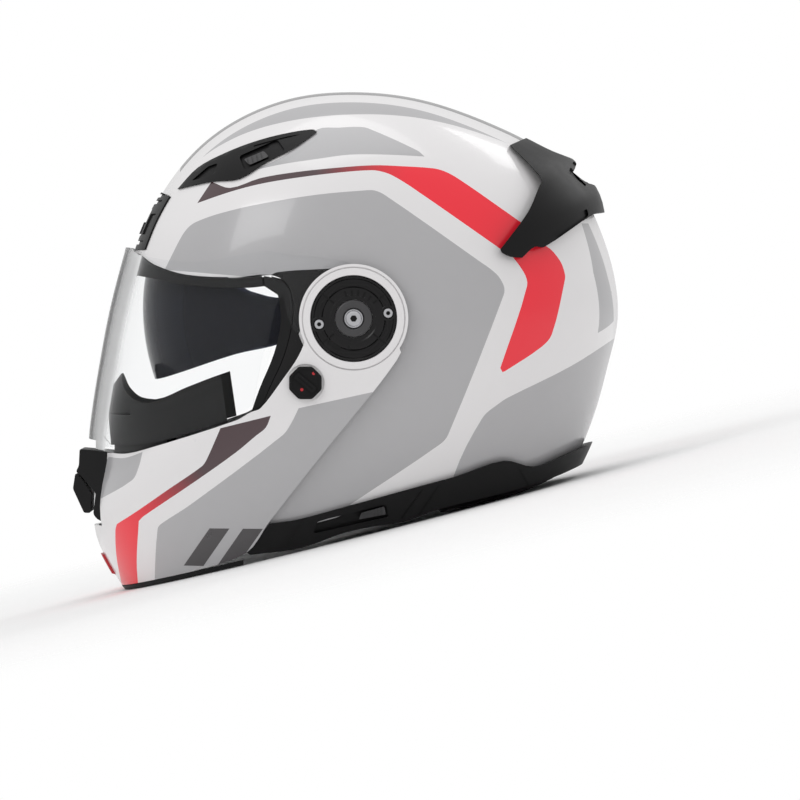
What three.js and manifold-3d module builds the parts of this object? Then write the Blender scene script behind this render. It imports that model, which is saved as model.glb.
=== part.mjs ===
// Modular (flip-up) motorcycle helmet, built as separate pieces on one shared flip axis.
// Working frame, in millimetres: X to the back, Y to the wearer's right, Z to the crown, and the
// origin on the flip axis in the middle plane. The finished group leans back on its base rim.
import * as THREE from 'three';
import { mergeVertices } from 'three/addons/utils/BufferGeometryUtils.js';
import Module from 'manifold-3d';

const wasm = await Module();
wasm.setup();

// ---- Driving dimensions ----------------------------------------------------------------------
const GAP = 0.35;
const LEAN = THREE.MathUtils.degToRad(14);
const BASE_DROP = 126.5;
const CENTRE_SHIFT = 14;

const SHELL_HALF = 119.2;
const SHELL_WALL = 3.5;
const VISOR_HALF = 121.8;
const VISOR_WALL = 1.8;
const ARM_HALF = 125.3;
const ARM_WALL = 3.0;
const SUN_HALF = 113.6;
const SUN_WALL = 1.8;
const FOAM_HALF = 109.6;
const FOAM_INNER_HALF = 93;
const CROWN_HALF = 83;
const ROUNDNESS = 2.5;

const RING_RADIUS = 32.3;
const DISC_RADIUS = 25.4;
const HUB_RADIUS = 10.9;
const SCREW_RADIUS = 6;
const SMALL_SCREW_RADIUS = 2.8;
const LEVER_RADIUS = 10.4;
const SUN_HUB_RADIUS = 9;

// Centre-plane radius about the flip axis, as [angle from the back in degrees, millimetres].
const SHELL_SILHOUETTE = [
  [0, 160.5], [20, 158.6], [34, 157.5], [44, 151.5], [54, 144.6], [66, 140], [88, 137.2], [108, 139.2],
  [130, 140.8], [150, 139.6], [170, 140.6], [190, 152], [208, 190], [222, 214], [234, 221], [248, 220],
  [262, 205], [280, 183], [300, 168], [320, 162], [336, 157.6], [350, 156.6],
];
const CHIN_SILHOUETTE = [
  [0, 168], [60, 168], [120, 160], [170, 150], [190, 157], [200, 167], [206, 173], [210, 178], [213, 188],
  [217, 200], [221, 208], [225, 212], [229, 216.6], [238, 221], [248, 221], [262, 205], [280, 183],
  [310, 168],
];
const VISOR_SILHOUETTE = [
  [0, 166], [135, 166], [142, 163], [148, 156], [155, 149], [163, 145.8], [172, 147], [181, 151],
  [190, 157.8], [199.5, 169.8], [205, 179.5], [212, 190], [222, 208], [240, 214], [300, 180],
];
const SUN_SILHOUETTE = [[0, 131], [150, 131], [170, 130.2], [187, 128.5], [200, 127.5], [260, 128]];
const SPOILER_SILHOUETTE = [
  [0, 160], [12, 161], [20, 163], [24, 166], [28, 167.5], [32, 165.5], [37, 164], [42, 158], [48, 150.6],
  [56, 146], [90, 142], [180, 142], [300, 160],
];

const paint = (color, roughness = 0.3) => new THREE.MeshStandardMaterial({ color, roughness, metalness: 0 });
const WHITE_GLOSS = paint(0xeeeeee, 0.25);
const BLACK_SATIN = paint(0x1b1c1e, 0.5);
const BLACK_RUBBER = paint(0x121212, 0.8);
const BLACK_FABRIC = paint(0x202226, 0.9);
const GREY_PLASTIC = paint(0x4b4d50, 0.5);
const FOAM = paint(0x2c2d30, 0.95);
const STEEL = new THREE.MeshStandardMaterial({ color: 0xb8babd, roughness: 0.3, metalness: 1 });
const RED_PLASTIC = paint(0xc01822, 0.4);
const CLEAR = new THREE.MeshStandardMaterial({
  color: 0xf4f8fa, roughness: 0.05, metalness: 0, transparent: true, opacity: 0.25,
});
const SMOKE = new THREE.MeshStandardMaterial({
  color: 0x2a2d33, roughness: 0.08, metalness: 0, transparent: true, opacity: 0.7,
});

// ---- Solid helpers ---------------------------------------------------------------------------
function toSolid(geometry) {
  const bare = geometry.clone();
  bare.deleteAttribute('normal');
  bare.deleteAttribute('uv');
  const merged = mergeVertices(bare, 1e-4);
  return new wasm.Manifold(new wasm.Mesh({
    numProp: 3,
    vertProperties: new Float32Array(merged.attributes.position.array),
    triVerts: new Uint32Array(merged.index.array),
  }));
}

function toMesh(solid, name, material) {
  const { vertProperties, triVerts } = solid.getMesh();
  const geometry = new THREE.BufferGeometry();
  geometry.setAttribute('position', new THREE.BufferAttribute(vertProperties, 3));
  geometry.setIndex(new THREE.BufferAttribute(triVerts, 1));
  geometry.computeVertexNormals();
  const mesh = new THREE.Mesh(geometry, material);
  mesh.name = name;
  return mesh;
}

// Smooth radius through a closed list of [degrees, radius] stations.
function radiusAt(stations, degrees) {
  const count = stations.length;
  const turn = ((degrees % 360) + 360) % 360;
  let k = count - 1;
  while (k > 0 && stations[k][0] > turn) k -= 1;
  const station = (i) => {
    const lap = Math.floor(i / count);
    const [angle, radius] = stations[i - lap * count];
    return [angle + 360 * lap, radius];
  };
  const [before, from, to, after] = [k - 1, k, k + 1, k + 2].map(station);
  const span = to[0] - from[0];
  const slopeFrom = (to[1] - before[1]) / (to[0] - before[0]);
  const slopeTo = (after[1] - from[1]) / (after[0] - from[0]);
  const t = (turn - from[0]) / span;
  const t2 = t * t;
  const t3 = t2 * t;
  return (2 * t3 - 3 * t2 + 1) * from[1] + (t3 - 2 * t2 + t) * span * slopeFrom
    + (3 * t2 - 2 * t3) * to[1] + (t3 - t2) * span * slopeTo;
}

// Half width of a dome at a point given by its distance and direction from the flip axis.
function widthAt(half, stations, inset, x, z) {
  const angle = THREE.MathUtils.radToDeg(Math.atan2(z, x));
  const share = Math.min(1, Math.hypot(x, z) / (radiusAt(stations, angle) - inset));
  return half * Math.sqrt(1 - share ** ROUNDNESS);
}

// Every dome shares these grid angles: round the flip axis, close together where the chin curves
// most, and up from the middle plane to each side, close together near the axis.
const SIDE_ANGLES = [16, 32, 46, 59, 70, 80];
const GRID_LEANS = [...SIDE_ANGLES.map((degrees) => -degrees).reverse(), 0, ...SIDE_ANGLES];
const GRID_ANGLES = [];
for (let degrees = 0; degrees < 360; degrees += degrees >= 190 && degrees < 230 ? 5 : 12) {
  GRID_ANGLES.push(degrees);
}

// Closed rounded body around the flip axis: half is its half width, inset shrinks its silhouette.
function dome(half, stations, inset = 0) {
  const rows = GRID_LEANS.length + 1;
  const columns = GRID_ANGLES.length;
  const positions = [0, -half, 0];
  for (let row = 1; row < rows; row += 1) {
    const lean = THREE.MathUtils.degToRad(GRID_LEANS[row - 1]);
    const share = Math.cos(lean) ** (2 / ROUNDNESS);
    for (const degrees of GRID_ANGLES) {
      const radius = share * (radiusAt(stations, degrees) - inset);
      const angle = THREE.MathUtils.degToRad(degrees);
      positions.push(radius * Math.cos(angle), half * Math.sin(lean), radius * Math.sin(angle));
    }
  }
  positions.push(0, half, 0);
  const last = positions.length / 3 - 1;
  const at = (row, column) => 1 + (row - 1) * columns + (column % columns);
  const index = [];
  for (let column = 0; column < columns; column += 1) {
    index.push(0, at(1, column), at(1, column + 1));
    index.push(last, at(rows - 1, column + 1), at(rows - 1, column));
    for (let row = 1; row < rows - 1; row += 1) {
      index.push(at(row, column), at(row + 1, column), at(row + 1, column + 1));
      index.push(at(row, column), at(row + 1, column + 1), at(row, column + 1));
    }
  }
  const geometry = new THREE.BufferGeometry();
  geometry.setAttribute('position', new THREE.BufferAttribute(new Float32Array(positions), 3));
  geometry.setIndex(index);
  return toSolid(geometry);
}

// Layer between two domes that share a silhouette.
function layer(outerHalf, outerInset, innerHalf, innerInset, stations) {
  return dome(outerHalf, stations, outerInset).subtract(dome(innerHalf, stations, innerInset));
}

// Side outline [x, z] carried straight across from yFrom to yTo.
function across(points, yFrom = -140, yTo = 140) {
  const shape = new THREE.Shape(points.map(([x, z]) => new THREE.Vector2(x, z)));
  const geometry = new THREE.ExtrudeGeometry(shape, { depth: yTo - yFrom, bevelEnabled: false });
  geometry.rotateX(Math.PI / 2);
  geometry.translate(0, yTo, 0);
  return toSolid(geometry);
}

// Round bar along Y.
function bar(radius, yFrom, yTo, x = 0, z = 0, sides = 32) {
  const geometry = new THREE.CylinderGeometry(radius, radius, Math.abs(yTo - yFrom), sides);
  geometry.rotateY(Math.PI / sides);
  geometry.translate(x, (yFrom + yTo) / 2, z);
  return toSolid(geometry);
}

function block(width, depth, height, x, y, z, tilt = 0) {
  const geometry = new THREE.BoxGeometry(width, depth, height);
  geometry.rotateY(tilt);
  geometry.translate(x, y, z);
  return toSolid(geometry);
}

const mirrored = (solid) => solid.mirror([0, 1, 0]);
const union = (solids) => solids.reduce((sum, next) => sum.add(next));

const worn = new THREE.Group();
const put = (name, solid, material) => worn.add(toMesh(solid, name, material));
function putPair(name, leftSolid, material) {
  put(`${name}_left`, leftSolid, material);
  put(`${name}_right`, mirrored(leftSolid), material);
}

// ---- Table plane -----------------------------------------------------------------------------
// Height of the table plane at x, in the working frame.
const floorAt = (x) => (x * Math.sin(LEAN) - BASE_DROP) / Math.cos(LEAN);
const aboveFloor = (lift, fromX = -220, toX = 220) => across([
  [fromX, floorAt(fromX) + lift], [toX, floorAt(toX) + lift], [toX, 220], [fromX, 220],
]);
const tableCut = aboveFloor(0);

// ---- Outer shell -----------------------------------------------------------------------------
const FACE_OPENING = [
  [-220, 42], [-134, 40], [-120, 32], [-100, 26], [-70, 24.5], [-52, 26], [-42, 23], [-37, 16], [-36, 0],
  [-41, -22], [-50, -42], [-57, -60], [-62, -90], [-68, -120], [-68, -200], [-220, -200],
];
const RIM_LINE = [
  [-90, -132], [-58, -127], [-33, -124], [-5, -117], [42, -104], [61, -99], [89.5, -92], [107.5, -94],
  [124, -88], [150, -78],
];
const aboveRim = (lift) => across([...RIM_LINE.map(([x, z]) => [x, z + lift]), [220, -60], [220, 220],
  [-220, 220], [-220, -132]]);
const VENT_POCKET_DEPTH = 1.6;
const TOP_VENT = [
  [-107, 77.5], [-94.5, 90.5], [-77, 99.5], [-59.5, 106], [-42, 110.5], [-25, 113], [-22, 111.5],
  [-36.5, 101], [-52, 93], [-68.5, 83], [-85.5, 81.5],
];
const BROW_VENT = [[-123, 79], [-108, 72], [-109, 59.5], [-119.5, 41], [-150, 41], [-150, 79]];

const shellBody = layer(SHELL_HALF, 0, SHELL_HALF - SHELL_WALL, SHELL_WALL, SHELL_SILHOUETTE);
const pocketLayer = layer(SHELL_HALF + 5, -5, SHELL_HALF - VENT_POCKET_DEPTH, VENT_POCKET_DEPTH,
  SHELL_SILHOUETTE);
const topVentPocket = pocketLayer.intersect(across(TOP_VENT, -90, -10));
const browVentPocket = pocketLayer.intersect(across(BROW_VENT, -42, 42));
const pivotPads = union([-1, 1].map((side) => bar(RING_RADIUS + 1.5, side * 118, side * 130)));
const shell = shellBody.subtract(across(FACE_OPENING)).intersect(aboveRim(0)).subtract(pivotPads)
  .subtract(topVentPocket).subtract(mirrored(topVentPocket)).subtract(browVentPocket);
put('outer_shell', shell, WHITE_GLOSS);

// ---- Vents on the shell ----------------------------------------------------------------------
const shrunk = (points, cx, cz, share) => points.map(([x, z]) => [cx + (x - cx) * share, cz + (z - cz) * share]);
const ventLayer = layer(SHELL_HALF + 0.9, -0.9, SHELL_HALF - VENT_POCKET_DEPTH + GAP,
  VENT_POCKET_DEPTH - GAP, SHELL_SILHOUETTE);
const switchLayer = layer(SHELL_HALF + 1.7, -1.7, SHELL_HALF, 0, SHELL_SILHOUETTE);
const switchPocket = layer(SHELL_HALF + 5, -5, SHELL_HALF - 0.55, 0.55, SHELL_SILHOUETTE);
const topVentCover = ventLayer.intersect(across(shrunk(TOP_VENT, -60, 95, 0.985), -89.5, -10.5));
const TOP_SWITCH = [[-66, 95], [-54, 100], [-51, 96.5], [-62.5, 91.5]];
const TOP_SWITCH_SLOT = [[-69, 97], [-46, 107], [-41, 100], [-65.5, 88.5]];
putPair('top_vent', topVentCover.subtract(switchPocket.intersect(across(TOP_SWITCH_SLOT, -90, -10))),
  BLACK_SATIN);
putPair('top_vent_switch', switchLayer.intersect(across(TOP_SWITCH, -88, -12)), GREY_PLASTIC);

const browSlot = switchPocket.intersect(across([[-150, 50], [-100, 50], [-100, 66], [-150, 66]], -14, 14));
const browVentCover = ventLayer.intersect(across(shrunk(BROW_VENT, -125, 58, 0.985), -41.5, 41.5));
put('brow_vent', browVentCover.subtract(browSlot), BLACK_SATIN);
const browSwitch = switchLayer.intersect(across([[-150, 51], [-100, 51], [-100, 58], [-150, 58]], -9, 9));
put('brow_vent_switch', browSwitch, GREY_PLASTIC);

// ---- Rear spoiler ----------------------------------------------------------------------------
const SPOILER = [
  [93.5, 104], [101, 96.5], [110.5, 86], [112.5, 82], [110, 77], [105, 65.5], [99, 56.5], [87, 41],
  [88, 39], [93.5, 36.5], [100, 36], [107.5, 42.5], [113.5, 42.5], [144, 62.5], [152, 64], [152, 79],
  [139.5, 82.5], [132, 88], [134.5, 93], [134, 96], [119.5, 101], [104, 109],
];
const spoiler = dome(SHELL_HALF + 4.5, SPOILER_SILHOUETTE)
  .subtract(dome(SHELL_HALF + GAP, SHELL_SILHOUETTE, -GAP))
  .intersect(across(SPOILER));
put('rear_spoiler', spoiler, BLACK_SATIN);

// ---- Base trim and the sun visor slider --------------------------------------------------------
const TRIM = [
  [-50, -122], [-33.5, -119.5], [-5.5, -112], [42, -99], [61, -94], [89.5, -85], [107.5, -89], [124, -83.5],
  [136, -79], [160, -70], [160, -82], [141.5, -88], [120, -96], [98.5, -102.5], [52, -113.5], [29.5, -121],
  [8.5, -124.5], [-7, -128], [-24.5, -134.5], [-37.5, -138], [-62, -141], [-64, -139.5],
];
const trimLayer = dome(SHELL_HALF + 2.2, SHELL_SILHOUETTE, -5)
  .subtract(dome(SHELL_HALF - SHELL_WALL, SHELL_SILHOUETTE, SHELL_WALL));
const shellKeepOut = aboveRim(-GAP)
  .intersect(dome(SHELL_HALF + GAP, SHELL_SILHOUETTE, -GAP));
const sliderSlot = across([
  [-24, -128], [-22, -121], [-15.5, -119], [4, -114.3], [19, -110.6], [20.5, -118], [2.5, -122],
], -130, -96);
const trim = trimLayer.intersect(across(TRIM)).subtract(shellKeepOut);
const slotLayer = dome(SHELL_HALF + 8, SHELL_SILHOUETTE, -9)
  .subtract(dome(SHELL_HALF - 0.2, SHELL_SILHOUETTE, -2.4));
put('base_trim', trim.subtract(slotLayer.intersect(sliderSlot)), BLACK_SATIN);
const knobLayer = dome(SHELL_HALF + 4, SHELL_SILHOUETTE, -7)
  .subtract(dome(SHELL_HALF + 1.6, SHELL_SILHOUETTE, -4));
const knob = knobLayer.intersect(across([[3, -119.5], [4.5, -115.5], [18, -111.8], [19, -116.5]], -130, -96.5));
put('sun_visor_slider', knob, GREY_PLASTIC);

// ---- Pivot discs, hubs and screws ------------------------------------------------------------
const PAD_FACE = 118;
const DISC_FACE = 124.2;
const SMALL_SCREWS = { front: [-20.4, -3.4], rear: [20.4, 3.2] };
let disc = bar(DISC_RADIUS, -PAD_FACE - GAP, -DISC_FACE, 0, 0, 40)
  .subtract(bar(HUB_RADIUS + GAP, -PAD_FACE - 2, -130));
Object.values(SMALL_SCREWS).forEach(([x, z]) => {
  disc = disc.subtract(bar(SMALL_SCREW_RADIUS + GAP, -DISC_FACE + 3, -130, x, z, 12));
});
putPair('pivot_disc', disc, BLACK_SATIN);
putPair('pivot_hub', bar(HUB_RADIUS, -PAD_FACE - 2 - GAP, -DISC_FACE - 0.6)
  .subtract(bar(SCREW_RADIUS + GAP, -DISC_FACE + 2, -130)), GREY_PLASTIC);
putPair('pivot_screw', bar(SCREW_RADIUS, -DISC_FACE + 2 - GAP, -DISC_FACE - 0.2, 0, 0, 24), STEEL);
Object.entries(SMALL_SCREWS).forEach(([place, [x, z]]) => {
  const screw = bar(SMALL_SCREW_RADIUS, -DISC_FACE + 3 - GAP, -DISC_FACE - 0.2, x, z, 12);
  putPair(`${place}_screw`, screw, STEEL);
});

// ---- Chin bar --------------------------------------------------------------------------------
const CHIN_TOP_EDGE = [
  [-200, -81.5], [-146.5, -81.5], [-138, -81.5], [-127, -79], [-70, -60.5], [-61, -55.5], [-55, -53],
  [-42, -36], [-32.5, -22], [-28, -9.5], [-27.5, 9.5],
];
const SEAM = [[28, -20], [24.5, -26], [13, -41.5], [-15.5, -76.5], [-50, -120.5], [-64.5, -140]];
const CHIN_BAR = [...CHIN_TOP_EDGE, [0, 9.5], [20, 5], ...SEAM, [-102, -153], [-130, -162.5],
  [-140.5, -166], [-200, -181]];
const armRing = bar(RING_RADIUS, -140, 140, 0, 0, 48);
const ringBore = bar(DISC_RADIUS + GAP, -140, 140, 0, 0, 40);
const chinOutline = across(CHIN_BAR).add(armRing).subtract(ringBore);
const chinBody = layer(ARM_HALF, 0, ARM_HALF - ARM_WALL, ARM_WALL, CHIN_SILHOUETTE);
const VENT_HALF = 36;
const ventWindow = across([[-200, -72], [-130, -72], [-142, -103], [-146, -126], [-200, -126]],
  -VENT_HALF, VENT_HALF);
const leverSeat = bar(LEVER_RADIUS + 0.8, -140, -ARM_HALF + ARM_WALL - 0.9, -28.5, -38, 24);
const BUTTON_HALF = 13;
const buttonWindow = block(50, 2 * BUTTON_HALF + 2 * GAP, 11, -140, 0, -152, 0.2);
put('chin_bar', chinBody.intersect(chinOutline).subtract(ventWindow).subtract(leverSeat)
  .subtract(buttonWindow).intersect(aboveFloor(3)), WHITE_GLOSS);

const edgeTrimLayer = layer(ARM_HALF + 0.2, -0.2, ARM_HALF - 7, 7, CHIN_SILHOUETTE);
const trimBand = aboveFloor(0, -220, -66).subtract(aboveFloor(3 - GAP));
put('chin_edge_trim', edgeTrimLayer.intersect(trimBand), BLACK_RUBBER);

// Breathable wall that stands behind the visor's lower edge.
const RIM_BAND = [
  [-200, -52], [-124, -51], [-106, -44], [-90.5, -38], [-79, -34], [-75, -62], [-130, -76], [-200, -76],
];
const rimBand = layer(ARM_HALF - 7, 7, ARM_HALF - 9.6, 9.6, CHIN_SILHOUETTE);
const deflectorSeat = across([[-200, -40], [-200, -58.5], [-100, -58.5], [-100, -40]], -57, 57);
put('chin_bar_gasket', rimBand.intersect(across(RIM_BAND)).subtract(deflectorSeat), BLACK_RUBBER);

const CHIN_FOAM = [
  [-200, -92], [-130, -90], [-76, -67], [-84, -108], [-87, -143], [-134, -154.5], [-200, -175],
];
const foamLayer = layer(ARM_HALF - ARM_WALL - GAP, ARM_WALL + GAP, ARM_HALF - 16, 16, CHIN_SILHOUETTE);
const buttonRoom = block(34, 2 * BUTTON_HALF + 6, 24, -134, 0, -148, 0.2);
const ventRoom = across([[-200, -68], [-118, -68], [-128, -129], [-200, -129]], -VENT_HALF - 1, VENT_HALF + 1);
const chinFoam = foamLayer.intersect(across(CHIN_FOAM)).subtract(buttonRoom).subtract(ventRoom);
put('chin_bar_liner', chinFoam, FOAM);

put('release_button', layer(ARM_HALF + 1.6, -1.6, ARM_HALF - 5, 5, CHIN_SILHOUETTE)
  .intersect(block(40, 2 * BUTTON_HALF, 10.2, -140, 0, -152, 0.2)), RED_PLASTIC);

// ---- Chin vent -------------------------------------------------------------------------------
const VENT_BODY = [
  [-167, -79.5], [-147, -81.5], [-147.5, -94], [-149, -104], [-151, -124], [-156, -122], [-158.5, -119],
  [-157, -106], [-166, -96], [-169.5, -93.5], [-167.5, -90],
];
const VENT_FLAP = [
  [-170, -94.6], [-171.5, -104], [-164.5, -118.5], [-160.5, -118.5], [-159.8, -106.5], [-166.4, -97.2],
];
const wedge = (points, half, backHalf) => {
  const solid = across(points, -half, half);
  const slope = (half - backHalf) / 30;
  const corner = (side) => {
    const plan = new THREE.Shape([
      [-176, side * (half - slope * 26)], [-140, side * (half + slope * 10)], [-140, side * 80],
      [-176, side * 80],
    ].map(([x, y]) => new THREE.Vector2(x, y)));
    const geometry = new THREE.ExtrudeGeometry(plan, { depth: 80, bevelEnabled: false });
    geometry.translate(0, 0, -140);
    return toSolid(geometry);
  };
  return solid.subtract(corner(1)).subtract(corner(-1));
};
put('chin_vent_housing', wedge(VENT_BODY, VENT_HALF - 1, 12), BLACK_SATIN);
put('chin_vent_flap', wedge(VENT_FLAP, VENT_HALF - 6, 8), BLACK_SATIN);

// ---- Breath deflector ------------------------------------------------------------------------
const DEFLECTOR_SILHOUETTE = [[0, 150], [190, 141], [193.5, 147], [197.5, 159.5], [202, 163], [215, 166]];
const DEFLECTOR = [
  [-170, -58], [-153, -48], [-142, -34], [-139, -43], [-132, -49.5], [-118, -51], [-116, -58],
];
const deflectorLayer = layer(96, 0, 93.6, 2, DEFLECTOR_SILHOUETTE);
put('breath_deflector', deflectorLayer.intersect(across(DEFLECTOR, -56, 56)), BLACK_RUBBER);

// ---- Clear visor -----------------------------------------------------------------------------
const VISOR = [
  [-170, 43], [-136.5, 42.5], [-129.5, 38], [-96, 33.5], [-64.5, 38], [-51.5, 40], [-37.5, 38], [-21, 36.5],
  [-2, 33], [20, 22], [20, -18], [-12, -29], [-36, -6], [-42, 14], [-46, 7.5], [-50, -9.5], [-53, -20],
  [-55, -27], [-60, -52], [-70, -58.5], [-127, -77.5], [-138, -80.5], [-146.5, -80.5], [-160, -78.5],
  [-200, -73],
];
const visorLayer = layer(VISOR_HALF, 0, VISOR_HALF - VISOR_WALL, VISOR_WALL, VISOR_SILHOUETTE);
const visorEar = bar(RING_RADIUS - 1.5, -140, 140, 0, 0, 40);
const visorKeepOut = across([[-200, -100], [-200, -70], [-156.5, -74], [-156.5, -100]], -VENT_HALF - 2,
  VENT_HALF + 2).subtract(dome(ARM_HALF + 30, VISOR_SILHOUETTE, 4));
put('visor', visorLayer.intersect(across(VISOR).add(visorEar).subtract(ringBore)).subtract(visorKeepOut),
  CLEAR);

// ---- Ride lever on the left arm --------------------------------------------------------------
const leverGrip = block(17, 3, 4.6, -28.5, -127.2, -38, 0.7);
put('ride_lever', bar(LEVER_RADIUS, -ARM_HALF + ARM_WALL - 1.3, -126.4, -28.5, -38, 8).add(leverGrip),
  BLACK_SATIN);

// ---- Chin bar latches and their strikers -----------------------------------------------------
const STRIKER_Y = 90;
const hook = across([
  [-82, -134], [-79, -117], [-75, -117], [-75.5, -123.5], [-67, -127], [-68, -131], [-75.5, -130.5],
  [-76, -134],
], -STRIKER_Y, -STRIKER_Y + 4);
putPair('latch_hook', hook, STEEL);
const strikerPlate = across([[-66, -130], [-66, -112], [-54, -106], [-54, -124]], -88, -85);
putPair('striker', strikerPlate.subtract(bar(2.6, -95, -80, -60, -118, 16)), STEEL);

// ---- Sun visor -------------------------------------------------------------------------------
const SUN_VISOR = [
  [-140, 46], [-118, 56], [-98, 40], [-66, 16], [-20, 9], [0, SUN_HUB_RADIUS], [0, -SUN_HUB_RADIUS],
  [-24, -9], [-48.5, -16.5], [-71, -21.5], [-110, -34.5], [-122, -37.5], [-140, -38],
];
const sunLayer = layer(SUN_HALF, 0, SUN_HALF - SUN_WALL, SUN_WALL, SUN_SILHOUETTE);
const sunHubHole = bar(3.4, -140, 140, 0, 0, 16);
put('sun_visor', sunLayer.intersect(across(SUN_VISOR).add(bar(SUN_HUB_RADIUS, -140, 140))
  .subtract(sunHubHole)), SMOKE);
putPair('sun_visor_pivot', bar(3, -110.2, -115.2, 0, 0, 16).add(bar(6, -109.8, -111, 0, 0, 20)),
  GREY_PLASTIC);

// ---- Impact liner and comfort pads -----------------------------------------------------------
const LINER_FRONT = [
  [-220, 46], [-134, 44], [-118, 38], [-98, 32], [-70, 30], [-48, 31], [-34, 24], [-28, 10], [-28, -6],
  [-34, -26], [-46, -48], [-52, -66], [-56, -90], [-58, -200], [-220, -200],
];
const sunPocket = dome(150, SUN_SILHOUETTE, -30).subtract(dome(FOAM_HALF, SUN_SILHOUETTE, 7))
  .intersect(across([[0, 30], [10, 120], [-60, 160], [-220, 160], [-220, -60], [-30, -40], [0, -20]]));
const foamOuter = dome(FOAM_HALF, SHELL_SILHOUETTE, SHELL_WALL + GAP);
const foamInner = dome(FOAM_INNER_HALF, SHELL_SILHOUETTE, 34);
const FOAM_LIFT = 22;
const STRAP_X = -14;
const STRAP_WIDTH = 22;
const RIVET_Z = -80;
const anchorPocket = block(STRAP_WIDTH + 5, 20, 38, STRAP_X, -102, -86);
const liner = foamOuter.subtract(foamInner).subtract(across(LINER_FRONT)).subtract(sunPocket)
  .intersect(aboveRim(FOAM_LIFT)).subtract(anchorPocket).subtract(mirrored(anchorPocket));
put('impact_liner', liner, FOAM);

const padOuter = dome(FOAM_INNER_HALF - GAP, SHELL_SILHOUETTE, 34 + GAP);
const padInner = dome(CROWN_HALF, SHELL_SILHOUETTE, 44);
const CROWN = [
  [-150, 50], [-96, 44], [-60, 40], [-24, 34], [0, 20], [16, -10], [52, -40], [150, -70], [150, 200],
  [-150, 200],
];
put('crown_pad', padOuter.subtract(padInner).intersect(across(CROWN)), BLACK_FABRIC);

const CHEEK = [
  [-26, 8], [-20, 26], [-4, 16], [12, -12], [44, -44], [40, -98], [-4, -108], [-44, -112], [-48, -70],
  [-34, -34],
];
const headRoom = dome(72, SHELL_SILHOUETTE, 40);
putPair('cheek_pad', padOuter.subtract(headRoom).intersect(across(CHEEK, -140, -40)), BLACK_FABRIC);

const NECK = [
  [46, -111], [52, floorAt(52)], [86, floorAt(86)], [120, -97], [150, -84], [150, -62], [110, -76],
  [90, -80], [48, -92],
];
const neckLayer = layer(FOAM_HALF - 3, 7, FOAM_HALF - 26, 30, SHELL_SILHOUETTE);
put('neck_roll', neckLayer.intersect(across(NECK)).intersect(tableCut), BLACK_FABRIC);

// ---- Eyeport gaskets -------------------------------------------------------------------------
const BROW_GASKET = [
  [-160, 39.3], [-134, 39.3], [-120, 31.6], [-100, 25.6], [-70, 24.1], [-54.5, 25.2], [-54, 19.5], [-70, 18],
  [-102, 20], [-122, 24], [-160, 30],
];
put('brow_gasket', layer(SHELL_HALF + 0.8, -1.2, SHELL_HALF - 3.2, 6.5, SHELL_SILHOUETTE)
  .intersect(across(BROW_GASKET)), BLACK_RUBBER);
const SIDE_GASKET = [
  [-53.2, 25.3], [-42.4, 22.6], [-37.4, 15.8], [-36.4, 0], [-41.4, -21.9], [-50.4, -41.9], [-57.4, -60],
  [-63, -62], [-56, -42], [-47, -20], [-43, 0], [-45, 14], [-52.8, 19],
];
putPair('side_gasket', layer(SHELL_HALF, 0, SHELL_HALF - 4.5, 4.5, SHELL_SILHOUETTE)
  .intersect(across(SIDE_GASKET, -140, -20)), BLACK_RUBBER);

// ---- Sun visor cable -------------------------------------------------------------------------
// Runs from behind the slider up to the left sun visor arm, in the space inside the shell.
const CABLE_RADIUS = 1;
const CABLE_STOPS = [[2, -94], [-2, -84], [-4, -62], [-2, -40], [2, -22], [3, -14]];
const cableRoute = new THREE.CatmullRomCurve3(CABLE_STOPS.map(([x, z]) => new THREE.Vector3(
  x, -widthAt(SHELL_HALF - SHELL_WALL, SHELL_SILHOUETTE, SHELL_WALL, x, z) + 2.8, z,
)));
function tube(route, radius, steps, sides = 8) {
  const section = new THREE.Shape();
  section.absarc(0, 0, radius, 0, 2 * Math.PI);
  return toSolid(new THREE.ExtrudeGeometry(section, { steps, extrudePath: route, curveSegments: sides / 2 }));
}
put('sun_visor_cable', tube(cableRoute, CABLE_RADIUS, 24), BLACK_RUBBER);

// ---- Chin strap and buckle -------------------------------------------------------------------
// Each strap comes down beside its cheek pad, turns under it and lies up along its inner face.
function ribbon(points, thickness, width, x) {
  const half = thickness / 2;
  const offset = (sign) => points.map(([y, z], i) => {
    const [ay, az] = points[Math.max(0, i - 1)];
    const [by, bz] = points[Math.min(points.length - 1, i + 1)];
    const length = Math.hypot(by - ay, bz - az);
    return new THREE.Vector2(y + (sign * half * (az - bz)) / length, z + (sign * half * (by - ay)) / length);
  });
  const shape = new THREE.Shape([...offset(1), ...offset(-1).reverse()]);
  const geometry = new THREE.ExtrudeGeometry(shape, { depth: width, bevelEnabled: false });
  geometry.applyMatrix4(new THREE.Matrix4().makeBasis(
    new THREE.Vector3(0, 1, 0), new THREE.Vector3(0, 0, 1), new THREE.Vector3(1, 0, 0),
  ));
  geometry.translate(x - width / 2, 0, 0);
  return toSolid(geometry);
}
const STRAP_PATH = [
  [-98, -71], [-97.5, -86], [-95.5, -100], [-92, -111], [-85, -117], [-72, -119], [-58, -118.5],
  [-48, -115], [-44.5, -107], [-50, -101], [-57.5, -95], [-61, -80], [-65, -64],
];
const rivetHole = bar(3.9, -105, -90, STRAP_X, RIVET_Z, 16);
putPair('chin_strap', ribbon(STRAP_PATH, 2, STRAP_WIDTH, STRAP_X).subtract(rivetHole), BLACK_FABRIC);
putPair('strap_rivet', bar(3.5, -107.5, -95.6, STRAP_X, RIVET_Z, 16), STEEL);

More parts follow.
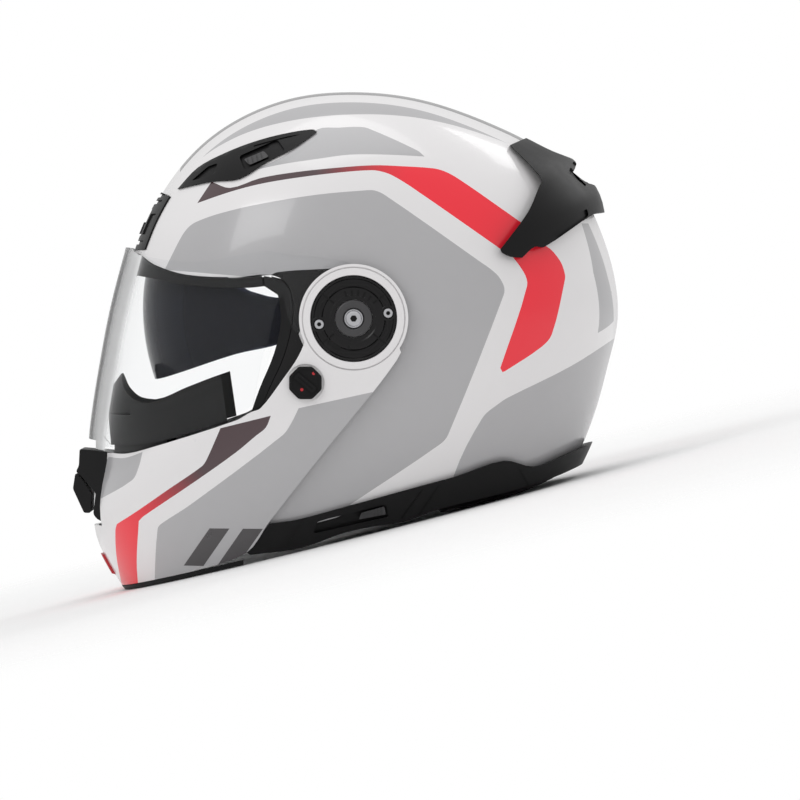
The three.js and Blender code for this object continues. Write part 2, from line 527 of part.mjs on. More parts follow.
const buckleBase = block(26, 3, 30, STRAP_X, -53.8, -78).add(block(26, 6, 3, STRAP_X, -51, -64.5))
  .add(block(3, 6, 30, STRAP_X - 13, -51, -78)).add(block(3, 6, 30, STRAP_X + 13, -51, -78));
put('buckle_body', buckleBase, STEEL);
put('buckle_lever', block(22, 2.4, 25, STRAP_X, -49.6, -80), RED_PLASTIC);
put('buckle_tongue', block(18, 2.6, 34, STRAP_X, 54.2, -75), GREY_PLASTIC);

// ---- Stand the helmet on its base ------------------------------------------------------------
worn.rotation.y = LEAN;
worn.position.set(CENTRE_SHIFT, 0, BASE_DROP);
const helmet = new THREE.Group();
helmet.add(worn);

export default helmet;
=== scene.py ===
import math

import bmesh
import bpy
import numpy as np
from mathutils import Matrix, Vector
from mathutils.bvhtree import BVHTree


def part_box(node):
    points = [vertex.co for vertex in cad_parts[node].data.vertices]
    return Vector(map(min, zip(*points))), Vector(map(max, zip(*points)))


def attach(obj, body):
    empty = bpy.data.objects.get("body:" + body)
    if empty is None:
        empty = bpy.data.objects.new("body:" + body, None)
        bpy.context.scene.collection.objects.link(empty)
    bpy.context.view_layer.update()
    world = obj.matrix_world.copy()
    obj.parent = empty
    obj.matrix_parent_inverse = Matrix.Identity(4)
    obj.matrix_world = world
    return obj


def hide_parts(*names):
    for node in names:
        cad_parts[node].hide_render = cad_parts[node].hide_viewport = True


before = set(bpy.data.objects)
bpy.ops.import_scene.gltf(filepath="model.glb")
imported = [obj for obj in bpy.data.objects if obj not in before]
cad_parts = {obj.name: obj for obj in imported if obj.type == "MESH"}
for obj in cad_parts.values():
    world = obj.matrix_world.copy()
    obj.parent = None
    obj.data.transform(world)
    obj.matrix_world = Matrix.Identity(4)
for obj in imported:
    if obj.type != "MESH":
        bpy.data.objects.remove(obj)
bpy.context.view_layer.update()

# ---- Working frame -------------------------------------------------------------------------
# Shapes are written in millimetres round the flip axis, as the helmet is worn: X to the back,
# Y to the right, Z to the crown. WORN carries them to the leaning helmet of the frame.
LEAN = math.radians(14)
DISC_LOW, DISC_HIGH = (Vector(corner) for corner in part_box("pivot_disc_left"))
PIVOT = (DISC_LOW + DISC_HIGH) / 2
PIVOT.y = 0
WORN = Matrix.Translation(PIVOT) @ Matrix.Rotation(LEAN, 4, "Y") @ Matrix.Scale(0.001, 4)
MIRROR = Matrix.Scale(-1, 4, (0, 1, 0))

SHELL_HALF = 119.2
SHELL_WALL = 3.5
VISOR_HALF = 121.5
VISOR_WALL = 1.8
ARM_HALF = 125.3
ARM_WALL = 3.0
SUN_HALF = 113.6
SUN_WALL = 1.8
FOAM_HALF = 109.6
FOAM_INNER_HALF = 93
CROWN_HALF = 83
ROUNDNESS = 2.5
RING_RADIUS = 32.3
DISC_RADIUS = 25.4
HUB_RADIUS = 10.9
FLOOR_DROP = PIVOT.z * 1000

# Centre-plane radius about the flip axis, as (degrees from the back, millimetres).
SHELL_LINE = [
    (0, 160.5), (20, 158.6), (34, 157.5), (44, 151.5), (54, 144.6), (66, 140), (88, 137.2),
    (108, 139.2), (130, 140.8), (150, 139.6), (170, 140.6), (190, 152), (208, 190), (222, 214),
    (234, 221), (248, 220), (262, 205), (280, 183), (300, 168), (320, 162), (336, 157.6),
    (350, 156.6),
]
CHIN_LINE = [
    (0, 168), (60, 168), (120, 160), (170, 150), (190, 157), (200, 167), (206, 173), (210, 178),
    (213, 188), (217, 200), (221, 208), (225, 212), (229, 216.6), (238, 221), (248, 221),
    (262, 205), (280, 183), (310, 168),
]
VISOR_LINE = [
    (0, 166), (135, 166), (142, 163), (148, 156), (155, 149), (163, 145.8), (172, 147),
    (181, 151), (190, 157.8), (199.5, 169.8), (205, 179.5), (212, 190), (222, 208), (240, 214),
    (300, 180),
]
SUN_LINE = [(0, 131), (150, 131), (170, 130.2), (187, 128.5), (200, 127.5), (260, 128)]
SPOILER_LINE = [
    (0, 160), (12, 161), (20, 163), (24, 166), (28, 167.5), (32, 165.5), (37, 164), (42, 158),
    (48, 150.6), (56, 146), (90, 142), (180, 142), (300, 160),
]
DEFLECTOR_LINE = [(0, 150), (190, 141), (193.5, 147), (197.5, 159.5), (202, 163), (215, 166)]


# ---- Solid modelling helpers ---------------------------------------------------------------
COLUMNS = 216
ROWS = 72
STEPS = 720


def smooth_line(stations, blur=1.6):
    """Radius at every half degree, from stations joined by a smooth curve and slightly blurred."""
    angles = np.array([a for a, _ in stations] * 3, float)
    count = len(stations)
    angles[:count] -= 360
    angles[2 * count:] += 360
    radii = np.array([r for _, r in stations] * 3, float)
    slopes = np.zeros(3 * count)
    slopes[1:-1] = (radii[2:] - radii[:-2]) / (angles[2:] - angles[:-2])
    turn = np.arange(STEPS) * 360 / STEPS
    k = np.searchsorted(angles, turn, side="right") - 1
    span = angles[k + 1] - angles[k]
    t = (turn - angles[k]) / span
    line = (
        (2 * t**3 - 3 * t**2 + 1) * radii[k]
        + (t**3 - 2 * t**2 + t) * span * slopes[k]
        + (3 * t**2 - 2 * t**3) * radii[k + 1]
        + (t**3 - t**2) * span * slopes[k + 1]
    )
    reach = int(4 * blur * STEPS / 360)
    window = np.exp(-0.5 * (np.arange(-reach, reach + 1) * 360 / STEPS / blur) ** 2)
    window /= window.sum()
    padded = np.concatenate([line[-reach:], line, line[:reach]])
    return np.convolve(padded, window, "valid")


LINES = {
    "shell": smooth_line(SHELL_LINE, 3.0),
    "chin": smooth_line(CHIN_LINE),
    "visor": smooth_line(VISOR_LINE, 3.0),
    "sun": smooth_line(SUN_LINE, 3.0),
    "spoiler": smooth_line(SPOILER_LINE),
    "deflector": smooth_line(DEFLECTOR_LINE),
}


def radius_at(line, angles):
    """Centre-plane radius of a named line at angles in radians."""
    turn = np.degrees(angles) % 360 * STEPS / 360
    table = LINES[line]
    return np.interp(turn, np.arange(STEPS + 1), np.append(table, table[0]))


def width_at(half, line, inset, x, z):
    """Distance of a dome's surface from the middle plane at a point of the side view."""
    share = min(1.0, math.hypot(x, z) / (float(radius_at(line, math.atan2(z, x))) - inset))
    return half * math.sqrt(1 - share**ROUNDNESS)


def make_object(name, vertices, faces):
    """New mesh object in the scene."""
    mesh = bpy.data.meshes.new(name)
    mesh.from_pydata([tuple(v) for v in vertices], [], faces)
    mesh.update()
    piece = bpy.data.objects.new(name, mesh)
    bpy.context.scene.collection.objects.link(piece)
    return piece


def dome(half, line, inset=0.0):
    """Closed rounded body round the flip axis: half width, centre-plane line and its inset."""
    angle = np.arange(COLUMNS) * 2 * math.pi / COLUMNS
    radius = radius_at(line, angle) - inset
    lean = -math.pi / 2 + np.arange(1, ROWS) * math.pi / ROWS
    share = np.cos(lean) ** (2 / ROUNDNESS)
    grid = np.empty((ROWS - 1, COLUMNS, 3))
    grid[:, :, 0] = share[:, None] * (radius * np.cos(angle))[None]
    grid[:, :, 1] = half * np.sin(lean)[:, None]
    grid[:, :, 2] = share[:, None] * (radius * np.sin(angle))[None]
    vertices = [(0, -half, 0), *grid.reshape(-1, 3).tolist(), (0, half, 0)]
    last = len(vertices) - 1
    faces = []
    for c in range(COLUMNS):
        d = (c + 1) % COLUMNS
        faces.append((0, 1 + c, 1 + d))
        top = 1 + (ROWS - 2) * COLUMNS
        faces.append((last, top + d, top + c))
        for r in range(ROWS - 2):
            a = 1 + r * COLUMNS
            faces.append((a + c, a + COLUMNS + c, a + COLUMNS + d, a + d))
    return make_object("dome", vertices, faces)


def across(points, start=-140, end=140):
    """Side outline carried straight across, from y = start to y = end."""
    count = len(points)
    area = sum(
        points[i][0] * points[(i + 1) % count][1] - points[(i + 1) % count][0] * points[i][1]
        for i in range(count)
    )
    ring = list(points) if area > 0 else list(points)[::-1]
    vertices = [(x, start, z) for x, z in ring] + [(x, end, z) for x, z in ring]
    faces = [tuple(range(count)), tuple(range(2 * count - 1, count - 1, -1))]
    for i in range(count):
        j = (i + 1) % count
        faces.append((i, count + i, count + j, j))
    return make_object("prism", vertices, faces)


def upright(points, along):
    """Flat outline of 3-D points carried straight along a vector."""
    count = len(points)
    ends = [Vector(p) + along for p in points]
    sides = [(i, count + i, count + (i + 1) % count, (i + 1) % count) for i in range(count)]
    piece = make_object("prism", [*points, *ends],
                        [tuple(range(count)), tuple(range(2 * count - 1, count - 1, -1)), *sides])
    tidy(piece)
    return piece


def turned(profile, x=0.0, z=0.0, segments=96):
    """Ring or disc turned round a line along Y: profile is a closed loop of (radius, y)."""
    count = len(profile)
    vertices = []
    for s in range(segments):
        a = 2 * math.pi * s / segments
        vertices += [(x + r * math.cos(a), y, z + r * math.sin(a)) for r, y in profile]
    faces = []
    for s in range(segments):
        n = (s + 1) % segments
        for i in range(count):
            j = (i + 1) % count
            faces.append((s * count + i, s * count + j, n * count + j, n * count + i))
    piece = make_object("turned", vertices, faces)
    tidy(piece)
    return piece


def bar(radius, start, end, x=0.0, z=0.0, segments=96):
    """Round bar along Y."""
    ring = [(radius * math.cos(2 * math.pi * s / segments) + x,
             radius * math.sin(2 * math.pi * s / segments) + z) for s in range(segments)]
    return across(ring, min(start, end), max(start, end))


def tidy(piece):
    """Merges doubled points and turns every face outwards."""
    mesh = bmesh.new()
    mesh.from_mesh(piece.data)
    bmesh.ops.remove_doubles(mesh, verts=mesh.verts, dist=1e-5)
    bmesh.ops.recalc_face_normals(mesh, faces=mesh.faces)
    mesh.to_mesh(piece.data)
    mesh.free()


def combine(piece, other, operation):
    """Boolean of two solids. The second is used up."""
    cut = piece.modifiers.new("cut", "BOOLEAN")
    cut.object = other
    cut.operation = operation
    cut.solver = "MANIFOLD"
    depsgraph = bpy.context.evaluated_depsgraph_get()
    mesh = bpy.data.meshes.new_from_object(piece.evaluated_get(depsgraph))
    piece.modifiers.clear()
    piece.data = mesh
    bpy.data.objects.remove(other)
    return piece


def cut(piece, *others):
    for other in others:
        combine(piece, other, "DIFFERENCE")
    return piece


def meet(piece, *others):
    for other in others:
        combine(piece, other, "INTERSECT")
    return piece


def join(piece, *others):
    for other in others:
        combine(piece, other, "UNION")
    return piece


def layer(line, outer_half, outer_inset, inner_half, inner_inset):
    """Closed wall between two domes of one centre-plane line."""
    return cut(dome(outer_half, line, outer_inset), dome(inner_half, line, inner_inset))


def twin(piece):
    other = piece.copy()
    other.data = piece.data.copy()
    bpy.context.scene.collection.objects.link(other)
    return other


def mirrored(piece):
    other = twin(piece)
    other.data.transform(MIRROR)
    other.data.flip_normals()
    return other


def curved(points, per_span=4, corner=38, closed=True):
    """Smooth outline through points. Turns sharper than the corner angle stay sharp."""
    points = [Vector(p) for p in points]
    count = len(points)
    spans = count if closed else count - 1
    steps = [points[(i + 1) % count] - points[i] for i in range(spans)]
    slopes = []
    for i in range(count):
        ends = not closed and i in (0, count - 1)
        before, after = steps[i - 1], steps[min(i, spans - 1)]
        if ends or before.angle(after) > math.radians(corner):
            slopes.append(None)
        else:
            slopes.append((before + after) / (before.length + after.length))
    out = []
    for i in range(spans):
        start, end = points[i], points[(i + 1) % count]
        step = steps[i]
        leave = slopes[i] or step / step.length
        arrive = slopes[(i + 1) % count] or step / step.length
        straight = slopes[i] is None and slopes[(i + 1) % count] is None
        for s in range(1 if straight else per_span):
            t = 0 if straight else s / per_span
            out.append(tuple(
                start * (2 * t**3 - 3 * t**2 + 1) + leave * step.length * (t**3 - 2 * t**2 + t)
                + end * (3 * t**2 - 2 * t**3) + arrive * step.length * (t**3 - t**2)
            ))
    if not closed:
        out.append(tuple(points[-1]))
    return out


def rounded(points, radius=3.0, steps=5):
    """Closed outline with its corners rounded."""
    out = []
    count = len(points)
    for i in range(count):
        here = Vector(points[i])
        before = Vector(points[i - 1]) - here
        after = Vector(points[(i + 1) % count]) - here
        reach = min(radius, before.length * 0.45, after.length * 0.45)
        start = here + before.normalized() * reach
        end = here + after.normalized() * reach
        for s in range(steps + 1):
            t = s / steps
            out.append(tuple(start * (1 - t) ** 2 + here * 2 * t * (1 - t) + end * t**2))
    return out


def smooth(piece, degrees=35):
    mesh = piece.data
    mesh.polygons.foreach_set("use_smooth", [True] * len(mesh.polygons))
    mesh.set_sharp_from_angle(angle=math.radians(degrees))


def place(piece, name, finish, body, nodes, degrees=35):
    """Names a finished solid, carries it to the frame and ties it to its body."""
    piece.name = name
    piece.data.name = name
    piece.data.transform(WORN)
    if not any(piece.data.materials):
        piece.data.materials.clear()
        piece.data.materials.append(finish)
    smooth(piece, degrees)
    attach(piece, body)
    if nodes:
        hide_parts(*nodes)
    return piece


def place_pair(piece, name, finish, body, node, degrees=35):
    other = mirrored(piece)
    place(piece, f"{name}_l", finish, body, [f"{node}_left"], degrees)
    place(other, f"{name}_r", finish, body, [f"{node}_right"], degrees)


# ---- Materials -----------------------------------------------------------------------------
def node_material(name):
    made = bpy.data.materials.new(name)
    made.use_nodes = True
    return made, made.node_tree.nodes, made.node_tree.links


def new_node(nodes, kind, **values):
    """New shader node with its named inputs set."""
    node = nodes.new(f"ShaderNode{kind}")
    for name, value in values.items():
        node.inputs[name.replace("_", " ")].default_value = value
    return node


def finish_of(name, colour, roughness, metallic=0.0, coat=0.0, grain=900.0, bump=0.05,
              spread=0.12, mottling=120.0, weave=0.0, specular=0.5, sheen=0.0,
              uneven=0.06):
    """Moulded, painted, woven or metal surface with fine relief and slight unevenness."""
    made, nodes, links = node_material(name)
    shader = nodes["Principled BSDF"]
    settings = {"Metallic": metallic, "Coat Weight": coat, "Coat Roughness": 0.08,
                "Specular IOR Level": specular, "Sheen Weight": sheen}
    for socket, value in settings.items():
        shader.inputs[socket].default_value = value
    place_of = new_node(nodes, "TexCoord")
    patches = new_node(nodes, "TexNoise", Scale=mottling, Detail=3.0)
    links.new(place_of.outputs["Object"], patches.inputs["Vector"])
    tint = nodes.new("ShaderNodeMix")
    tint.data_type = "RGBA"
    dark = [c * (1 - spread) for c in colour]
    light = [min(1.0, c * (1 + spread)) for c in colour]
    tint.inputs["A"].default_value = (*dark, 1)
    tint.inputs["B"].default_value = (*light, 1)
    links.new(patches.outputs["Fac"], tint.inputs["Factor"])
    links.new(tint.outputs["Result"], shader.inputs["Base Color"])
    rough = new_node(nodes, "MapRange", To_Min=max(0.02, roughness - uneven), To_Max=roughness + uneven)
    links.new(patches.outputs["Fac"], rough.inputs["Value"])
    links.new(rough.outputs["Result"], shader.inputs["Roughness"])
    relief = new_node(nodes, "Bump", Strength=bump, Distance=0.0003)
    if weave:
        height = woven_height(nodes, links, place_of, weave)
    else:
        fine = new_node(nodes, "TexNoise", Scale=grain, Detail=2.0)
        links.new(place_of.outputs["Object"], fine.inputs["Vector"])
        height = fine.outputs["Fac"]
    links.new(height, relief.inputs["Height"])
    links.new(relief.outputs["Normal"], shader.inputs["Normal"])
    return made


def woven_height(nodes, links, place_of, scale):
    """Two crossed sets of threads."""
    heights = []
    for direction in ("X", "Z"):
        wave = new_node(nodes, "TexWave", Scale=scale, Distortion=0.6, Detail=1.0)
        wave.bands_direction = direction
        links.new(place_of.outputs["Object"], wave.inputs["Vector"])
        heights.append(wave.outputs["Fac"])
    both = new_node(nodes, "Math")
    both.operation = "MULTIPLY"
    links.new(heights[0], both.inputs[0])
    links.new(heights[1], both.inputs[1])
    return both.outputs["Value"]


def foam_finish():
    """Moulded bead foam: packed round cells."""
    made = finish_of("bead_foam", (0.020, 0.020, 0.023), 0.85, bump=0.3, specular=0.15)
    nodes, links = made.node_tree.nodes, made.node_tree.links
    cells = new_node(nodes, "TexVoronoi", Scale=320.0)
    links.new(nodes["Texture Coordinate"].outputs["Object"], cells.inputs["Vector"])
    links.new(cells.outputs["Distance"], nodes["Bump"].inputs["Height"])
    return made


def lacquer(name, colour, roughness=0.3, coat=0.5, **look):
    """Smooth coated paint."""
    return finish_of(name, colour, roughness, coat=coat, grain=700, bump=0.02, **look)


def fading_finish(name, near, far, start, end, from_value, to_value):
    """Lacquer that fades from one colour to another between two points of the frame."""
    made = lacquer(name, near, spread=0.02, uneven=0.012)
    nodes, links = made.node_tree.nodes, made.node_tree.links
    along = Vector(end) - Vector(start)
    project = new_node(nodes, "VectorMath")
    project.operation = "DOT_PRODUCT"
    project.inputs[1].default_value = along / along.length_squared
    links.new(nodes["Texture Coordinate"].outputs["Object"], project.inputs[0])
    offset = Vector(start).dot(along) / along.length_squared
    fade = new_node(nodes, "MapRange", From_Min=offset + from_value, From_Max=offset + to_value)
    fade.interpolation_type = "SMOOTHSTEP"
    links.new(project.outputs["Value"], fade.inputs["Value"])
    blend = nodes.new("ShaderNodeMix")
    blend.data_type = "RGBA"
    blend.inputs["B"].default_value = (*far, 1)
    links.new(nodes["Mix"].outputs["Result"], blend.inputs["A"])
    links.new(fade.outputs["Result"], blend.inputs["Factor"])
    links.new(blend.outputs["Result"], nodes["Principled BSDF"].inputs["Base Color"])
    return made


def lens_finish(name, tint, opacity, gloss):
    """Thin clear or smoked sheet: mostly see-through, with reflections that grow at the edges."""
    made, nodes, links = node_material(name)
    nodes.remove(nodes["Principled BSDF"])
    out = nodes["Material Output"]
    clear = new_node(nodes, "BsdfTransparent", Color=(*tint, 1))
    body = new_node(nodes, "BsdfPrincipled",
                    Base_Color=(*[c * 0.9 for c in tint], 1), Roughness=0.04,
                    Coat_Weight=1.0, Coat_Roughness=0.03)
    edge = new_node(nodes, "Fresnel", IOR=gloss)
    share = new_node(nodes, "MapRange", To_Min=opacity, To_Max=1.0)
    links.new(edge.outputs["Fac"], share.inputs["Value"])
    mix = new_node(nodes, "MixShader")
    links.new(share.outputs["Result"], mix.inputs["Fac"])
    links.new(clear.outputs["BSDF"], mix.inputs[1])
    links.new(body.outputs["BSDF"], mix.inputs[2])
    links.new(mix.outputs["Shader"], out.inputs["Surface"])
    return made


def local(x, z, y=0.0):
    """Frame position of a point given in the working frame."""
    return WORN @ Vector((x, y, z))


WHITE = lacquer("white_lacquer", (0.80, 0.785, 0.79), 0.28, 0.6, spread=0.006, uneven=0.012)
GREY = lacquer("grey_lacquer", (0.43, 0.425, 0.435), spread=0.012, uneven=0.012)
DARK = lacquer("dark_lacquer", (0.06, 0.055, 0.058), spread=0.04)
RED = (0.90, 0.010, 0.03)
MAROON = (0.065, 0.035, 0.04)
SIDE_STRIPE = fading_finish("side_stripe_lacquer", MAROON, RED, local(-46, 88), local(36, 82), 0.25, 1.0)
CROWN_STRIPE = lacquer("crown_stripe_lacquer", (0.13, 0.125, 0.13), spread=0.04)
CHIN_STRIPE = fading_finish("chin_stripe_lacquer", MAROON, RED, local(-85, -80), local(-140, -125),
                            0.1, 1.0)
SATIN = finish_of("satin_black_plastic", (0.008, 0.0078, 0.0082), 0.42, grain=1600, bump=0.10, spread=0.1,
                  specular=0.16)
GLOSSY = finish_of("dark_gloss_plastic", (0.008, 0.0075, 0.008), 0.24, grain=1600, bump=0.04, spread=0.1,
                   specular=0.25)
SWITCH = finish_of("grey_switch_plastic", (0.055, 0.054, 0.056), 0.38, grain=1500, bump=0.08, spread=0.1,
                   specular=0.35)
RUBBER = finish_of("black_rubber", (0.009, 0.009, 0.0095), 0.55, grain=1200, bump=0.15, spread=0.15,
                   specular=0.2)
STEEL = finish_of("turned_steel", (0.55, 0.55, 0.57), 0.28, metallic=1.0, grain=2500, bump=0.1, spread=0.08)
BUTTON_RED = finish_of("red_plastic", (0.5, 0.012, 0.02), 0.35, grain=1500, bump=0.08, spread=0.08)
KNIT = finish_of("knitted_lining", (0.012, 0.012, 0.014), 0.85, bump=0.6, weave=260, spread=0.25,
                 specular=0.15, sheen=0.08)
BRUSHED = finish_of("brushed_lining", (0.020, 0.020, 0.024), 0.9, bump=0.5, grain=1400, spread=0.2,
                    specular=0.15, sheen=0.1)
WEBBING = finish_of("strap_webbing", (0.012, 0.012, 0.013), 0.7, bump=0.8, weave=420, spread=0.25,
                    specular=0.2, sheen=0.08)
THREAD = finish_of("stitch_thread", (0.05, 0.05, 0.055), 0.7, grain=3000, bump=0.3, spread=0.1)
FOAM = foam_finish()
CLEAR = lens_finish("clear_polycarbonate", (0.99, 0.992, 0.993), 0.008, 1.08)
SMOKE = lens_finish("smoke_polycarbonate", (0.17, 0.18, 0.22), 0.07, 1.25)


# ---- Painted regions -----------------------------------------------------------------------
# Each is a side outline in the working frame. The pattern is the same on both sides.
SHELL_REGIONS = [
    ("port", [
        (-45, 27.5), (-14, 29.5), (-6, 30), (20, 20), (20, -30), (-20, -60), (-64, -62), (-66, -40),
        (-52, 24),
    ]),
    ("grey", [
        (-113.5, 29), (-109.5, 37), (-103.5, 48.5), (-99.5, 54), (-94.5, 57.5), (-80, 62.5),
        (-56, 68), (-21.5, 73.5), (6.5, 76), (12, 76), (18, 73.5), (73, 35), (84.5, 26.5),
        (89, 19.5), (89, 14), (56, -69), (51.5, -74.5), (-2, -110.5), (-2, -140), (-130, -140),
        (-61, -53), (-60, 24.5),
    ]),
    ("grey", [
        (180, 0), (155, -14), (129.5, -29), (92, -47), (86.5, -50.5), (76.5, -59),
        (59.5, -93.5), (59.5, -110), (180, -110),
    ]),
    ("grey", [
        (-22, 113), (-9, 114), (2.5, 114.5), (8.5, 113.5), (38, 100), (42, 96.5), (20.5, 97.5),
        (-2.5, 97.5), (-21.5, 95), (-42, 92), (-59, 88.5), (-40, 98),
    ]),
    ("stripe", [
        (-85.5, 81.7), (-94, 68.8), (-74, 75.4), (-56, 80), (-35, 83.5), (-9, 86.7), (10.8, 88.1),
        (17.6, 87), (23.4, 84.7), (34.6, 77.8), (86.5, 41.7), (104, 30), (104, 54), (88.4, 65),
        (62, 83.3), (54, 87.6), (47, 89.4), (27.5, 90.6), (12, 91.1), (-9, 89.7), (-35, 87),
        (-56, 83.5), (-74, 77.8),
    ]),
    ("stripe", [
        (90, 42), (101, 27.5), (103, 19.3), (87, -29.5), (88.3, -32), (90, -31.3), (111.5, -17.3),
        (118, -9.7), (126, 22.9), (126, 26.6), (123, 34.5), (114.8, 43), (100, 46),
    ]),
]
REAR_BAND = [(26, -2), (51, -9), (53, 27), (47, 57), (37, 57), (33, 25)]
CROWN_LEAF = [
    (-92, 42), (-50, 42.4), (0, 42.6), (50, 43), (92, 43.5), (65, 49), (39.5, 54.5), (18, 58),
    (-4, 60), (-28, 60), (-49, 56.5), (-75.5, 48.5),
]
CHIN_REGIONS = [
    ("dark", [(-102, -148), (-86, -125), (-74, -125), (-90, -148)]),
    ("dark", [(-82, -148), (-66, -125), (-54, -125), (-70, -148)]),
    ("grey", [
        (-148.5, -84), (-138, -84), (-126.5, -80), (-129, -89.5), (-133, -97), (-156.5, -111),
        (-160, -100),
    ]),
    ("stripe", [
        (-142, -161.5), (-144, -143.5), (-144, -128), (-143, -124), (-130, -115.5), (-110, -101.5),
        (-90.5, -88), (-87.5, -84), (-79, -65), (-49, -57.5), (-52, -64.5), (-58, -69.5),
        (-70, -79.5), (-94.5, -97), (-126, -118.5), (-129, -121.5), (-131, -147), (-130.5, -166),
        (-142, -170),
    ]),
    ("grey", [
        (-120, -156), (-117.5, -126), (-115.5, -123), (-97.5, -111), (-42, -69), (-37, -62),
        (-32.5, -53), (11, -43.5), (30, -60), (-60, -160), (-120, -175),
    ]),
]
STRIPE_HALF = 24.0
CENTRE_STRIPE = (-106, 104)


def on_dome(points, half, line, inset=0.0):
    """1 on the dome's surface, less inside it, for many points of the working frame."""
    reach = np.hypot(points[:, 0], points[:, 2])
    full = radius_at(line, np.arctan2(points[:, 2], points[:, 0])) - inset
    return (points[:, 1] / half) ** 2 + (reach / full) ** ROUNDNESS


OUTER_FACE = 0.985
WALL_GAP = 0.002
SAME_WAY = 0.999


def paint(piece, half, line, regions, finishes):
    """Parts a shell along the region solids, gives the outer face of each part its lacquer and
    joins the parts again without the faces between them. The first region wins an overlap."""
    names = list(finishes)
    walls, parts = [], []
    for name, tool in regions:
        walls.append(BVHTree.FromPolygons([v.co for v in tool.data.vertices],
                                          [tuple(p.vertices) for p in tool.data.polygons]))
        part = twin(piece)
        meet(part, twin(tool))
        cut(piece, tool)
        parts.append((names.index(name), part))
    whole = bmesh.new()
    for index, part in [(0, piece), *parts]:
        centres = np.array([p.center for p in part.data.polygons]).reshape(-1, 3)
        outer = on_dome(centres, half, line) > OUTER_FACE
        part.data.polygons.foreach_set("material_index", np.where(outer, index, 0))
        whole.from_mesh(part.data)
        if part is not piece:
            bpy.data.objects.remove(part)
    hidden = []
    for face in whole.faces:
        centre = face.calc_center_median()
        for wall in walls:
            _, normal, _, _ = wall.find_nearest(centre, WALL_GAP)
            if normal is not None and abs(normal.dot(face.normal)) > SAME_WAY:
                hidden.append(face)
                break
    bmesh.ops.delete(whole, geom=hidden, context="FACES")
    bmesh.ops.remove_doubles(whole, verts=whole.verts, dist=0.001)
    piece.data.materials.clear()
    for name in names:
        piece.data.materials.append(finishes[name])
    whole.to_mesh(piece.data)
    whole.free()


def true_normals(piece, *domes):
    """Shades the faces that lie on these (half, line, inset) domes by the dome's own curvature."""
    mesh = piece.data
    to_frame = WORN.to_3x3().normalized()
    back = np.array(WORN.inverted())
    points = np.array([v.co for v in mesh.vertices])
    points = points @ back[:3, :3].T + back[:3, 3]
    corners = np.empty(len(mesh.loops), int)
    mesh.loops.foreach_get("vertex_index", corners)
    normals = np.empty(len(mesh.loops) * 3)
    mesh.corner_normals.foreach_get("vector", normals)
    normals = normals.reshape(-1, 3)
    face_normals = np.repeat([p.normal for p in mesh.polygons],
                             [p.loop_total for p in mesh.polygons], axis=0)
    for half, line, inset in domes:
        slope = np.empty_like(points)
        for axis in range(3):
            step = np.zeros(3)
            step[axis] = 0.4
            slope[:, axis] = (on_dome(points + step, half, line, inset)
                              - on_dome(points - step, half, line, inset))
        slope = slope @ np.array(to_frame).T
        slope /= np.linalg.norm(slope, axis=1)[:, None]
        wanted = slope[corners]
        agree = (wanted * face_normals).sum(axis=1)
        close = np.abs(on_dome(points, half, line, inset) - 1)[corners] < 0.006
        use = close & (np.abs(agree) > 0.93)
        normals[use] = wanted[use] * np.sign(agree[use])[:, None]
    mesh.normals_split_custom_set(normals.tolist())


# ---- Outlines ------------------------------------------------------------------------------
def floor_at(x):
    """Height of the table plane at x, in the working frame."""
    return (x * math.sin(LEAN) - FLOOR_DROP) / math.cos(LEAN)


def above_floor(lift, start=-140, end=140):
    """Solid of everything above the table plane, raised by lift."""
    return across([(-220, floor_at(-220) + lift), (220, floor_at(220) + lift), (220, 240),
                   (-220, 240)], start, end)


FACE_OPENING = [
    (-220, 42), (-134, 40), (-120, 32), (-100, 26), (-70, 24.5), (-52, 26), (-42, 23), (-37, 16),
    (-36, 0), (-41, -22), (-50, -42), (-57, -60), (-62, -90), (-68, -120), (-68, -200),
    (-220, -200),
]
RIM_LINE = [
    (-90, -132), (-58, -127), (-33, -124), (-5, -117), (42, -104), (61, -99), (89.5, -92),
    (107.5, -94), (124, -88), (150, -78),
]
TOP_VENT = [
    (-107, 77.5), (-94.5, 90.5), (-77, 99.5), (-59.5, 106), (-42, 110.5), (-25, 113),
    (-22, 111.5), (-36.5, 101), (-52, 93), (-68.5, 83), (-85.5, 81.5),
]
BROW_VENT = [(-123, 79), (-108, 72), (-109, 59.5), (-119.5, 41), (-150, 41), (-150, 79)]
SPOILER = [
    (93.5, 104), (101, 96.5), (110.5, 86), (112.5, 82), (110, 77), (105, 65.5), (99, 56.5),
    (87, 41), (88, 39), (93.5, 36.5), (100, 36), (107.5, 42.5), (113.5, 42.5), (144, 62.5),
    (152, 64), (152, 79), (139.5, 82.5), (132, 88), (134.5, 93), (134, 96), (119.5, 101),
    (104, 109),
]
TRIM = [
    (-50, -122), (-33.5, -119.5), (-5.5, -112), (42, -99), (61, -94), (89.5, -85),
    (107.5, -89), (124, -83.5), (136, -79), (160, -70), (160, -82), (141.5, -88), (120, -96),
    (98.5, -102.5), (52, -113.5), (29.5, -121), (8.5, -124.5), (-7, -128), (-24.5, -134.5),
    (-37.5, -138), (-62, -141), (-64, -139.5),
]
CHIN_BAR = [
    (-200, -81.5), (-146.5, -81.5), (-138, -81.5), (-127, -79), (-70, -60.5), (-61, -55.5),
    (-55, -53), (-42, -36), (-32.5, -22), (-28, -9.5), (-27.5, 9.5), (0, 9.5), (20, 5),
    (28, -20), (24.5, -26), (13, -41.5), (-15.5, -76.5), (-50, -120.5), (-64.5, -140),
    (-102, -153), (-130, -162.5), (-140.5, -166), (-200, -181),
]
